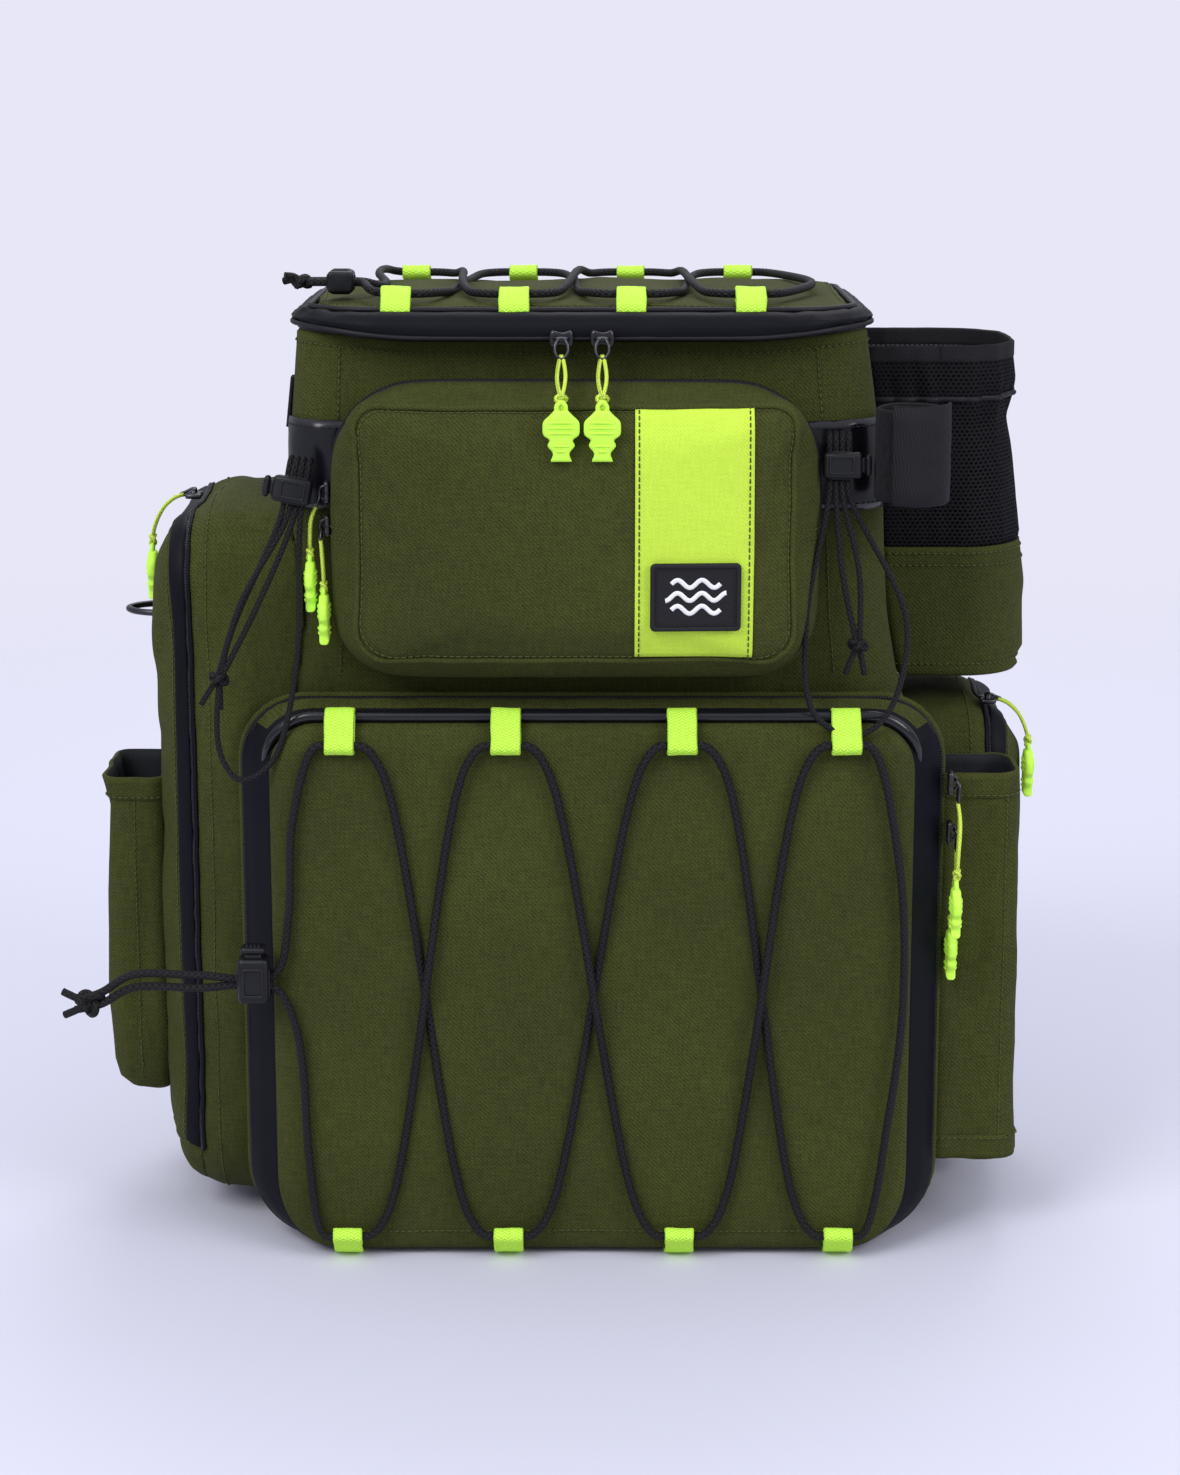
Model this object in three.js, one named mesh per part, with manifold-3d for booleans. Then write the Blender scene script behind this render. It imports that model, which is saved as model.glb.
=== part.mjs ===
// A tackle backpack that stands on its base: a padded body with a zipped lid, a drop-down tray door,
// zipped front and side pockets, a bottle pocket, a rod sleeve with its strap, and a carrying harness.
// Millimetres, +Z up. The front faces -Y, +X is on the right of someone looking at the front, and the
// origin is on the ground under the middle of the body.
import * as THREE from 'three';
import { mergeVertices } from 'three/addons/utils/BufferGeometryUtils.js';
import Module from 'manifold-3d';

const wasm = await Module();
wasm.setup();

// ---------------------------------------------------------------- driving dimensions
const GAP = 0.4; // clearance between neighbouring pieces
const WALL = 5; // body panel: shell fabric, foam and lining
const SKIN = 2.4; // pocket wall: shell fabric and backing
const FRONT = -95; // body's front face, Y
const BACK = 95; // body's back face, Y
const CORNER = 22; // body's upright corners, radius
const BODY_TOP = 468; // body's top edge at the front
const TOP_TILT = 2; // degrees the lid falls towards the back
const LEAN = 5; // sideways set of the soft upper body, towards -X
const TRAY_TOP = 289; // top face of the floor between the two compartments
const DOOR_TOP = 291;
const DOOR_HALF = 178;
const DOOR_FACE = 122.5; // how far in front of the origin the door's face stands
const TAB_WIDTH = 15; // lacing tab webbing
const CORD = 2; // shock cord radius
const THIN_CORD = 1.5; // tool loop cord radius
const LACE_HEIGHT = 4.9; // lacing cord's centre above the surface it runs over
const POCKET_X = [-129.5, 113]; // upper front pocket, left and right
const POCKET_Z = [296, 452]; // upper front pocket, bottom and top
const POCKET_FACE = 132; // how far in front of the origin its face stands
const BAND_Z = [386, 428]; // reinforcement band, bottom and top
const BOTTLE_Y = [-18, 62]; // bottle pocket, front and back
const BOTTLE_SPLIT = 353; // where the bottle pocket's fabric cup becomes mesh
const STRAP_CENTRE = [157.5, -104]; // rod strap's axis in plan
const LOOP_SPREAD = 3.4; // half the spacing of two strands inside a cord lock
const TRAY_OPENING = { half: 154, bottom: 8, top: 282, corner: 14 };
const LID = { half: 146, depth: 203, rim: 17, crown: 22 }; // heights above the lid's lower edge
const LEFT_EDGE = 206; // side pockets: how far out their gussets reach
const RIGHT_EDGE = 210;

// Body's half width at a few heights; straight between them.
const BODY_HALF = [
  [0, 162], [25, 169], [60, 170], [258, 170], [296, 157], [330, 152], [420, 149], [500, 139],
];

// ---------------------------------------------------------------- small tools
const { degToRad } = THREE.MathUtils;
const tilt = Math.tan(degToRad(TOP_TILT));
const halfWidth = (z) => {
  const i = Math.max(1, BODY_HALF.findIndex(([level]) => level >= z));
  const [[z0, w0], [z1, w1]] = [BODY_HALF[i - 1], BODY_HALF[i]];
  return w0 + ((w1 - w0) * (z - z0)) / (z1 - z0);
};
const lean = (z) => -LEAN * THREE.MathUtils.clamp((z - TRAY_TOP) / (BODY_TOP - TRAY_TOP), 0, 1);
const topEdge = (y) => BODY_TOP - tilt * (y - FRONT);

// Ways to lay a flat outline (u, v) in space at a distance w.
const upwards = (u, v, w) => [u, v, w]; // outline in X-Y, rising
const forwards = (u, v, w) => [u, -w, v]; // outline in X-Z, coming forward
const backwards = (u, v, w) => [-u, w, v]; // outline in X-Z seen from behind, going back
const sideways = (u, v, w) => [w, u, v]; // outline in Y-Z, going towards +X

function arc(cx, cy, radius, from, to, steps) {
  return Array.from({ length: steps + 1 }, (_, i) => {
    const angle = degToRad(from + ((to - from) * i) / steps);
    return [cx + radius * Math.cos(angle), cy + radius * Math.sin(angle)];
  });
}

// A rectangle with round corners, anticlockwise; radii are bottom left, bottom right, top right, top left.
function roundedRectangle(x0, x1, y0, y1, radii, steps = 3) {
  const largest = Math.min(x1 - x0, y1 - y0) * 0.49;
  const [bl, br, tr, tl] = (Array.isArray(radii) ? radii : [radii, radii, radii, radii])
    .map((r) => THREE.MathUtils.clamp(r, 0.3, largest));
  return [
    ...arc(x0 + bl, y0 + bl, bl, 180, 270, steps),
    ...arc(x1 - br, y0 + br, br, 270, 360, steps),
    ...arc(x1 - tr, y1 - tr, tr, 0, 90, steps),
    ...arc(x0 + tl, y1 - tl, tl, 90, 180, steps),
  ];
}

// The outline of a strip of even thickness laid along a line of points.
function strip(line, thickness) {
  const left = [];
  const right = [];
  line.forEach(([x, y], i) => {
    const [ax, ay] = line[Math.max(i - 1, 0)];
    const [bx, by] = line[Math.min(i + 1, line.length - 1)];
    const scale = thickness / 2 / Math.hypot(bx - ax, by - ay);
    left.push([x - (by - ay) * scale, y + (bx - ax) * scale]);
    right.push([x + (by - ay) * scale, y - (bx - ax) * scale]);
  });
  return [...right, ...left.reverse()];
}

// A closed solid through a stack of outlines; each level is [outline, w], and w may depend on (u, v).
function loft(levels, place) {
  const count = levels[0][0].length;
  const positions = levels.flatMap(([outline, w]) =>
    outline.flatMap(([u, v]) => place(u, v, typeof w === 'function' ? w(u, v) : w)));
  const index = [];
  for (let level = 0; level + 1 < levels.length; level++) {
    for (let i = 0; i < count; i++) {
      const a = level * count + i;
      const b = level * count + ((i + 1) % count);
      index.push(a, b, b + count, a, b + count, a + count);
    }
  }
  const flat = (outline) => outline.map((p) => new THREE.Vector2(...p));
  const faces = (outline) => THREE.ShapeUtils.triangulateShape(flat(outline), []);
  const last = (levels.length - 1) * count;
  for (const [a, b, c] of faces(levels[0][0])) index.push(c, b, a);
  for (const [a, b, c] of faces(levels.at(-1)[0])) index.push(last + a, last + b, last + c);
  const geometry = new THREE.BufferGeometry();
  geometry.setAttribute('position', new THREE.Float32BufferAttribute(positions, 3));
  geometry.setIndex(index);
  geometry.computeVertexNormals();
  return geometry;
}

const slab = (outline, from, to, place) => loft([[outline, from], [outline, to]], place);
const box = ([x0, x1], [y0, y1], [z0, z1]) => slab([[x0, y0], [x1, y0], [x1, y1], [x0, y1]], z0, z1, upwards);

function toSolid(geometry) {
  const bare = geometry.clone();
  bare.deleteAttribute('normal');
  bare.deleteAttribute('uv');
  const merged = mergeVertices(bare, 1e-4);
  return new wasm.Manifold(new wasm.Mesh({
    numProp: 3,
    vertProperties: merged.attributes.position.array,
    triVerts: new Uint32Array(merged.index.array),
  }));
}

function toGeometry(solid) {
  const { numProp, vertProperties, triVerts } = solid.getMesh();
  const positions = [];
  for (let i = 0; i < vertProperties.length; i += numProp) {
    positions.push(...vertProperties.subarray(i, i + 3));
  }
  const geometry = new THREE.BufferGeometry();
  geometry.setAttribute('position', new THREE.Float32BufferAttribute(positions, 3));
  geometry.setIndex(new THREE.BufferAttribute(triVerts, 1));
  geometry.computeVertexNormals();
  return geometry;
}

const joined = (...pieces) => toGeometry(pieces.map(toSolid).reduce((all, piece) => all.add(piece)));
const cut = (piece, ...tools) =>
  toGeometry(tools.map(toSolid).reduce((left, tool) => left.subtract(tool), toSolid(piece)));

// A round cord through points.
function cord(points, radius, steps, sides = 6) {
  const path = new THREE.CatmullRomCurve3(points.map((p) => new THREE.Vector3(...p)), false, 'centripetal');
  const circle = arc(0, 0, radius, 0, 360 - 360 / sides, sides - 1);
  const section = new THREE.Shape(circle.map((p) => new THREE.Vector2(...p)));
  return new THREE.ExtrudeGeometry(section, { steps, extrudePath: path, bevelEnabled: false });
}

// ---------------------------------------------------------------- materials
const material = (color, roughness, metalness = 0) =>
  new THREE.MeshStandardMaterial({ color, roughness, metalness });
const olive = material(0x3f4a22, 0.9);
const lining = material(0x23262a, 0.95);
const coated = material(0x1d1e26, 0.5);
const neon = material(0xb9f32c, 0.7);
const webbing = material(0x17181c, 0.85);
const blackMesh = material(0x121216, 0.95);
const blackPlastic = material(0x1b1e24, 0.45);
const gunmetal = material(0x24262a, 0.3, 0.8);
const elastic = material(0x1f1e23, 0.8);

const backpack = new THREE.Group();
function add(name, geometry, finish, parent = backpack) {
  const mesh = new THREE.Mesh(geometry, finish);
  mesh.name = name;
  parent.add(mesh);
  return mesh;
}

// ---------------------------------------------------------------- body panels
// The body is a tapering rounded box whose wall is divided at its upright corners. A panel runs from one
// corner's middle to the next, anticlockwise in plan.
function wallOutline(first, second, z, outset = 0, thickness = WALL, overlap = 0) {
  const r = CORNER;
  const half = halfWidth(z);
  const corners = {
    frontLeft: [lean(z) - half + r, FRONT + r, 225],
    frontRight: [lean(z) + half - r, FRONT + r, 315],
    backRight: [lean(z) + half - r, BACK - r, 45],
    backLeft: [lean(z) - half + r, BACK - r, 135],
  };
  const seam = 1 - overlap; // degrees kept clear of the neighbouring panel
  const [ax, ay, from] = corners[first];
  const [bx, by, to] = corners[second];
  const line = (radius) => [
    ...arc(ax, ay, radius, from + seam, from + 45, 3),
    ...arc(bx, by, radius, to - 45, to - seam, 3),
  ];
  return [...line(r + outset), ...line(r + outset - thickness).reverse()];
}

// The whole body as one solid, a little larger all round: what is sewn to its sides is trimmed with it.
// A side of -1 gives its mirror image.
function bodyHull(outset, side = 1) {
  return loft(BODY_HALF.map(([z]) => {
    const half = halfWidth(z) + outset;
    const middle = side * lean(z);
    const [front, back] = [FRONT - outset, BACK + outset];
    return [roundedRectangle(middle - half, middle + half, front, back, CORNER + outset, 6), z];
  }), upwards);
}

function wallPanel(first, second, bottom, levels) {
  return loft([
    [wallOutline(first, second, bottom), bottom],
    ...levels.map((z) => [wallOutline(first, second, z), z]),
    [wallOutline(first, second, BODY_TOP), (u, v) => topEdge(v)],
  ], upwards);
}

const BASE = 5; // bottom panel's thickness
const sideLevels = [25, 60, 258, 296, 330, 420];
const upperLevels = sideLevels.filter((z) => z > TRAY_TOP);
// The front panel reaches down round the tray opening as a frame, to which the door's zip is sewn.
const opening = TRAY_OPENING;
const doorFrame = cut(
  slab(roundedRectangle(-180, 180, 0.6, DOOR_TOP + 2, 40), 89.4, 96.6, forwards),
  slab(
    roundedRectangle(-opening.half, opening.half, opening.bottom, opening.top, opening.corner),
    88, 98, forwards,
  ),
);
add('front_panel', joined(wallPanel('frontLeft', 'frontRight', TRAY_TOP + 1, upperLevels), doorFrame), olive);
add('right_side_panel', wallPanel('frontRight', 'backRight', BASE + GAP, sideLevels), olive);
add('back_panel', wallPanel('backRight', 'backLeft', BASE + GAP, sideLevels), olive);
add('left_side_panel', wallPanel('backLeft', 'frontLeft', BASE + GAP, sideLevels), olive);

const baseOutline = (inset) =>
  roundedRectangle(inset - 163, 163 - inset, inset - 88.8, 93 - inset, CORNER - inset);
const baseLevels = [[baseOutline(6), 0], [baseOutline(1), 1.6], [baseOutline(0), BASE]];
add('bottom_panel', loft(baseLevels, upwards), olive);
const floorOutline = roundedRectangle(-153, 153, -88, 88, 18);
add('compartment_floor', slab(floorOutline, TRAY_TOP - WALL, TRAY_TOP, upwards), lining);

// The glossy band that carries the tool loops and the rod strap lies on the body's front and round both
// of its corners.
const bandOutline = (z) => wallOutline('frontLeft', 'frontRight', z, 2, 1.2, 30);
add('reinforcement_band', loft([BAND_Z[0], 420, BAND_Z[1]].map((z) => [bandOutline(z), z]), upwards), coated);

// ---------------------------------------------------------------- lid
// Built level at its front edge, then tilted as one group about that edge.
const lid = new THREE.Group();
lid.position.set(lean(BODY_TOP), FRONT - 9, BODY_TOP + 1.6);
lid.rotation.x = -degToRad(TOP_TILT);
backpack.add(lid);

const lidRadii = [46, 46, 34, 34];
const lidOutline = (inset) => roundedRectangle(
  inset - LID.half, LID.half - inset, inset, LID.depth - inset, lidRadii.map((r) => r - inset), 5,
);
const rim = cut(
  loft([[lidOutline(1.5), 0], [lidOutline(0), 3], [lidOutline(0), 12], [lidOutline(3), LID.rim]], upwards),
  slab(lidOutline(8), -1, LID.rim + 1, upwards),
);
add('lid_rim', rim, coated, lid);
add('lid_panel', loft([
  [lidOutline(10), 9], [lidOutline(10), 17], [lidOutline(15), 20], [lidOutline(30), LID.crown],
], upwards), olive, lid);

// A webbing tab: a strap out of a seam that ends in a loop round the lacing cord.
// line is the strap's path and centre the loop's, both in the plane across the tab.
function tab(line, centre, x, place) {
  const disc = (radius, from, to) => slab(arc(...centre, radius, 0, 330, 11), from, to, place);
  const [from, to] = [x - TAB_WIDTH / 2, x + TAB_WIDTH / 2];
  const strap = joined(slab(strip(line, 1.2), from, to, place), disc(CORD + 2.2, from, to));
  return cut(strap, disc(CORD + 1.1, from - 1, to + 1));
}

// Tabs are caught in the seam between panel and rim, by a tape that runs all round it.
const lidTape = cut(slab(lidOutline(8.5), 10, 17.4, upwards), slab(lidOutline(9.4), 9, 18, upwards));
const lidTabLine = [[8.9, 15], [9, 17.5], [11, 21.4], [15, 23.6], [20, 24.6]];
const lidTabLoop = [20, LID.crown + LACE_HEIGHT];
const lidTabXs = { front: [-92, -33.5, 24.5, 83.5], rear: [-90, -32, 26, 84] };
const mirrored = ([v, w]) => [LID.depth - v, w];
const lidTabs = [
  ...lidTabXs.front.map((x) => tab(lidTabLine, lidTabLoop, x, sideways)),
  ...lidTabXs.rear.map((x) => tab(lidTabLine.map(mirrored), mirrored(lidTabLoop), x, sideways)),
];
add('lid_tabs', joined(lidTape, ...lidTabs), neon, lid);

// Shock cord laced between two rows of tabs: it leaves the lock, zigzags out, turns, and zigzags back.
// rows are [near, far] values of the second coordinate; shoulder says how far beyond a tab, and how far in
// from its row, the cord bends. The returning cord climbs over the outgoing one between the rows.
function lace(xsNear, xsFar, [near, far], height, { start, turn, end }, shoulder) {
  const exit = TAB_WIDTH / 2 + 4.5;
  const climb = 2.6 * CORD;
  const visit = (x, row, towards, level) => {
    const bend = row === near ? Math.sign(far - near) : Math.sign(near - far);
    return [
      [x - towards * (exit + shoulder[0]), row + bend * shoulder[1], level],
      ...[-exit, -exit / 3, exit / 3, exit].map((along) => [x + towards * along, row, height]),
      [x + towards * (exit + shoulder[0]), row + bend * shoulder[1], level],
    ];
  };
  const columns = xsNear.map((x, i) => ({ near: x, far: xsFar[i], startsNear: i % 2 === 0 }));
  const out = columns.flatMap((column) => (
    column.startsNear ? visit(column.near, near, 1, height) : visit(column.far, far, 1, height)));
  const top = height + climb;
  const returning = columns.reverse().flatMap((column) => (
    column.startsNear ? visit(column.far, far, -1, top) : visit(column.near, near, -1, top)));
  return [...start, ...out.slice(0, -1), ...turn, ...returning.slice(1), ...end];
}

const lidRows = [lidTabLoop[0], mirrored(lidTabLoop)[0]];
const lidLaceZ = lidTabLoop[1];
const lidLock = [-121, 44, lidLaceZ + 2]; // the lock's middle, in the lid's frame
const lidStrand = (side, x) => [x, lidLock[1] + side * LOOP_SPREAD, lidLock[2]];
const lidLace = lace(lidTabXs.front, lidTabXs.rear, lidRows, lidLaceZ, {
  start: [-138, -129, -120, -108].map((x) => lidStrand(-1, x)),
  turn: [[112, 145, lidLaceZ + 1], [118, 101, lidLaceZ + 2], [112, 60, lidLaceZ + 1]],
  end: [
    [-106, 120, lidLaceZ], [-94, 74, lidLaceZ],
    ...[-106, -120, -129, -138].map((x) => lidStrand(1, x)),
  ],
}, [11, 14]);
const knot = (x, y, z) => new THREE.SphereGeometry(5.5, 8, 6).translate(x, y, z);
const lidCord = joined(cord(lidLace, CORD, 150, 5), knot(-140, lidLock[1], lidLock[2]));
add('lid_lacing_cord', lidCord, elastic, lid);

// ---------------------------------------------------------------- cord locks
// A cord lock is a housing with a slot for the strands and a sprung plunger with a button on top.
const LOCK = { along: 13, deep: 11, across: [-8, 11] };
const lockHousing = () => cut(
  box([-LOCK.along / 2, LOCK.along / 2], [-LOCK.deep / 2, LOCK.deep / 2], LOCK.across),
  box([-LOCK.along, LOCK.along], [-3.5, 3.5], [-6.6, 6.6]),
  box([-4.2, 4.2], [-3.3, 3.3], [6, LOCK.across[1] + 1]),
);
const lockPlunger = () => joined(
  box([-3.7, 3.7], [-2.8, 2.8], [9, 13.6]),
  box([-5.4, 5.4], [-4.2, 4.2], [13.4, 15.6]),
);
// Strands run along the lock's X; turn is a rotation [x, y, z] in degrees that lays it on its cord.
function cordLock(name, centre, turn, parent = backpack) {
  const group = new THREE.Group();
  group.position.set(...centre);
  group.rotation.set(...turn.map(degToRad));
  parent.add(group);
  add(`${name}_cord_lock`, lockHousing(), blackPlastic, group);
  add(`${name}_cord_lock_button`, lockPlunger(), blackPlastic, group);
}
cordLock('lid', lidLock, [-90, 0, 0], lid);

// ---------------------------------------------------------------- tray door
// side, top and bottom say how far an outline lies inside the door's largest one.
const DOOR_BOTTOM = 2;
const doorRadii = [45, 45, 38, 38];
const doorOutline = (side, top, bottom) => roundedRectangle(
  side - DOOR_HALF, DOOR_HALF - side, DOOR_BOTTOM + bottom, DOOR_TOP - top,
  doorRadii.map((r) => r - Math.min(side, 20)), 4,
);
const doorSeam = 112; // how far forward the door's face is sewn to its edge band
add('door_zip_band', cut(
  loft([
    [doorOutline(0, 0, 0), 97], [doorOutline(2, 1, 0.5), 104], [doorOutline(7, 4, 2), doorSeam],
  ], forwards),
  slab(doorOutline(12, 9, 8), 96, doorSeam + 1, forwards),
), coated);
add('door_panel', loft([
  [doorOutline(7.5, 4.5, 2.5), doorSeam + 1.4], [doorOutline(10, 5.5, 3.5), 118],
  [doorOutline(13, 7, 5), 121], [doorOutline(18, 12, 10), DOOR_FACE],
], forwards), olive);

const doorTape = cut(
  slab(doorOutline(8, 2.8, 0.9), doorSeam + 0.3, doorSeam + 1.1, forwards),
  slab(doorOutline(12, 9, 8), doorSeam, doorSeam + 2, forwards),
);
// Tab paths are drawn as [forward, height] and laid across towards -X.
const towardsLeft = (u, v, w) => [-w, -u, v];
const doorTabTop = [[112.7, 287.7], [118, 287.4], [122.4, 284.6], [124.2, 280], [124.6, 275]];
const doorTabBottom = [[112.7, 3.3], [118, 3.6], [122.4, 6], [124.2, 9.5], [124.6, 12]];
const doorLaceForward = DOOR_FACE + LACE_HEIGHT;
const doorRows = [273, 13.8]; // heights of the cord in the top and bottom tabs
const doorTabXs = [-126, -43, 45, 127];
const doorTabs = doorTabXs.flatMap((x) => [
  tab(doorTabTop, [doorLaceForward, doorRows[0]], -x, towardsLeft),
  tab(doorTabBottom, [doorLaceForward, doorRows[1]], -x, towardsLeft),
]);
add('door_tabs', joined(doorTape, ...doorTabs), neon);

const doorLock = [-171, -doorLaceForward - 1.2, 151];
const doorStrand = (side, x) => [x, doorLock[2] + side * LOOP_SPREAD, doorLaceForward + 1.2];
const doorLace = lace(doorTabXs, doorTabXs, doorRows, doorLaceForward, {
  start: [
    [-262, 141, doorLaceForward], [-249, 145, doorLaceForward],
    ...[-233, -200, -160].map((x) => doorStrand(1, x)),
    [-149, 186, doorLaceForward + 1], [-144, 235, doorLaceForward],
  ],
  turn: [[152, 80, doorLaceForward], [158, 145, doorLaceForward], [154, 215, doorLaceForward]],
  end: [
    [-140, 60, doorLaceForward], [-147, 115, doorLaceForward + 1],
    ...[-160, -200, -233].map((x) => doorStrand(-1, x)),
    [-249, 139, doorLaceForward], [-262, 136, doorLaceForward],
  ],
}, [10, 15]).map(([x, z, forward]) => [x, -forward, z]);
const doorCord = joined(cord(doorLace, CORD, 250, 5), knot(-254, -doorLaceForward, 140));
add('door_lacing_cord', doorCord, elastic);
cordLock('door', doorLock, [0, 0, 0]);

// ---------------------------------------------------------------- upper front pocket
const pocketRadii = [34, 34, 42, 42];
const pocketOutline = (side, top, bottom, shrink = 0) => roundedRectangle(
  POCKET_X[0] + side + shrink, POCKET_X[1] - side - shrink,
  POCKET_Z[0] + bottom + shrink, POCKET_Z[1] - top - shrink,
  pocketRadii.map((r) => r - Math.min(side + shrink, 26)), 4,
);
const pocketLevels = (shrink, ends = 0) => [
  [pocketOutline(2, 2, 2, shrink), 97.2 - ends], [pocketOutline(0, 0, 0, shrink), 103],
  [pocketOutline(3, 2, 6, shrink), 115], [pocketOutline(9, 5, 15, shrink), 124],
  [pocketOutline(12, 7, 19, shrink), 127 + ends],
];
const pocketBox = loft(pocketLevels(0), forwards);
const pocketRoom = loft(pocketLevels(SKIN, 1), forwards);
add('front_pocket_gusset', cut(pocketBox, pocketRoom), olive);
add('front_pocket_panel', loft([
  [pocketOutline(12, 7, 19), 127 + GAP], [pocketOutline(14, 8, 22), 130.5],
  [pocketOutline(18, 12, 26), POCKET_FACE],
], forwards), olive);
const stripFace = POCKET_FACE + GAP + 1; // the accent strip is 1 thick
const accent = slab(roundedRectangle(21, 79, 322.5, 439.5, 1, 1), POCKET_FACE + GAP, stripFace, forwards);
add('accent_strip', accent, neon);
const patch = slab(roundedRectangle(28.4, 73, 334, 368, 1.5, 2), stripFace + GAP, stripFace + 2.2, forwards);
add('label_patch', patch, blackPlastic);

// ---------------------------------------------------------------- side pockets
// Drawn on the +X side; the left one is mirrored. A gusset stands out from the body's side panel and an
// outer panel, hinged along the bottom, closes it.
function sidePocket(name, [y0, y1], [z0, z1], radii, edge, left) {
  const outline = (inset, shrink = 0) =>
    roundedRectangle(y0 + inset + shrink, y1 - inset - shrink, z0 + inset + shrink,
      z1 - inset - shrink, radii.map((r) => Math.max(r - inset - shrink, 4)), 4);
  const sign = left ? -1 : 1;
  const gusset = cut(
    loft([[outline(0), 140], [outline(0), edge - 14], [outline(4), edge]], sideways),
    loft([[outline(0, SKIN), 120], [outline(0, SKIN), edge - 14], [outline(4, SKIN), edge + 1]], sideways),
    bodyHull(1, sign),
  );
  const panel = loft([
    [outline(4), edge + GAP], [outline(4), edge + 4], [outline(10), edge + 11],
    [outline(22), edge + 15.6], [outline(36), edge + 17],
  ], sideways);
  for (const [part, geometry] of [['gusset', gusset], ['panel', panel]]) {
    add(`${name}_pocket_${part}`, geometry, olive).scale.x = sign;
  }
}
sidePocket('left', [-86, 76], [8, 383], [52, 52, 40, 40], LEFT_EDGE, true);
sidePocket('right', [-36, 86], [12, 270], [40, 40, 30, 30], RIGHT_EDGE, false);

// Open plier pocket on the left pocket's outer panel.
const plierFace = LEFT_EDGE + 17 + GAP;
const plierOutline = (inset, out) =>
  roundedRectangle(-plierFace - out + inset, -plierFace - inset * 0.5, -52 + inset, 12 - inset, 9, 2);
// Each level is [inset, how far it stands out, z]; the room inside starts above the bottom's thickness.
const plierSkin = (shrink, levels) =>
  loft(levels.map(([inset, out, z]) => [plierOutline(inset + shrink, out), z]), upwards);
add('plier_pocket', cut(
  plierSkin(0, [[6, 25, 64], [1, 30, 78], [0, 32, 160], [0, 29, 238]]),
  plierSkin(SKIN, [[6, 25, 67], [1, 30, 79], [0, 32, 160], [0, 29, 239]]),
), olive);

// D-ring lying flat, its bar along the outer panel.
const RING = { wire: 1.7, z: 319, reach: 18 };
const ringBar = -plierFace - 3.6;
const ringBow = [[0, -17], [6, -16.6], [14, -12], [RING.reach, -4], [14, 4], [6, 8.6], [0, 9]];
add('d_ring', joined(
  cord(ringBow.map(([out, y]) => [ringBar - out, y, RING.z]), RING.wire, 18),
  cord([[ringBar, -17.5, RING.z], [ringBar, 9.5, RING.z]], RING.wire, 1),
), gunmetal);

// ---------------------------------------------------------------- bottle pocket
// How far out the pocket reaches at each height.
const bottleOuter = [
  [285.6, 229], [296, 231], [330, 231], [BOTTLE_SPLIT, 228], [405, 222], [420, 219], [440, 223], [455, 222],
];
const bottleRadii = [6, 34, 34, 6];
// One stretch of the pocket. Shrunk, it is the room inside: its top passes the mouth, its bottom starts
// at floor above the stretch's own.
function bottleSkin(stretch, shrink = 0, floor = 0) {
  return loft(stretch.map(([z, outer], i) => {
    const inner = halfWidth(z) + lean(z) + 1.2;
    const outline = roundedRectangle(inner + shrink, outer - shrink, BOTTLE_Y[0] + shrink,
      BOTTLE_Y[1] - shrink, bottleRadii.map((r) => Math.max(r - shrink, 3)), 4);
    const bottom = i === 0 ? floor : 0;
    const top = shrink > 0 && i === stretch.length - 1 ? 1 : 0;
    return [outline, z + bottom + top];
  }), upwards);
}
const cupStretch = bottleOuter.filter(([z]) => z <= BOTTLE_SPLIT);
const meshStretch = bottleOuter.filter(([z]) => z >= BOTTLE_SPLIT);
add('bottle_pocket_cup', cut(bottleSkin(cupStretch), bottleSkin(cupStretch, SKIN, 3)), olive);
const mesh = cut(bottleSkin(meshStretch), bottleSkin(meshStretch, SKIN, -1));
add('bottle_pocket_mesh', mesh, blackMesh).position.z = GAP;

// ---------------------------------------------------------------- rod holder
const sleeveRadii = [12, 12, 12, 4];
const sleeveOutline = (shrink, flare) => roundedRectangle(
  171.4 + shrink, 219 + flare - shrink, -90 + shrink, -46 - shrink,
  sleeveRadii.map((r) => r - shrink * 0.6), 3,
);
add('rod_sleeve', cut(
  loft([[sleeveOutline(0, 3), 42], [sleeveOutline(0, 0), 250]], upwards),
  loft([[sleeveOutline(SKIN, 3), 41], [sleeveOutline(SKIN, 0), 251]], upwards),
), olive);

const STRAP_Z = [394, 440];
const [strapX, strapY] = STRAP_CENTRE;
const wrap = (radius, thickness, from, to, steps) => [
  ...arc(strapX, strapY, radius + thickness, from, to, steps),
  ...arc(strapX, strapY, radius, from, to, steps).reverse(),
];
add('rod_strap', slab(wrap(15.2, 2.4, -5, 246, 12), ...STRAP_Z, upwards), webbing);
add('rod_strap_flap', slab(wrap(18.2, 1.8, -122, -4, 7), STRAP_Z[0] - 1, STRAP_Z[1] + 3, upwards), webbing);

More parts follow.
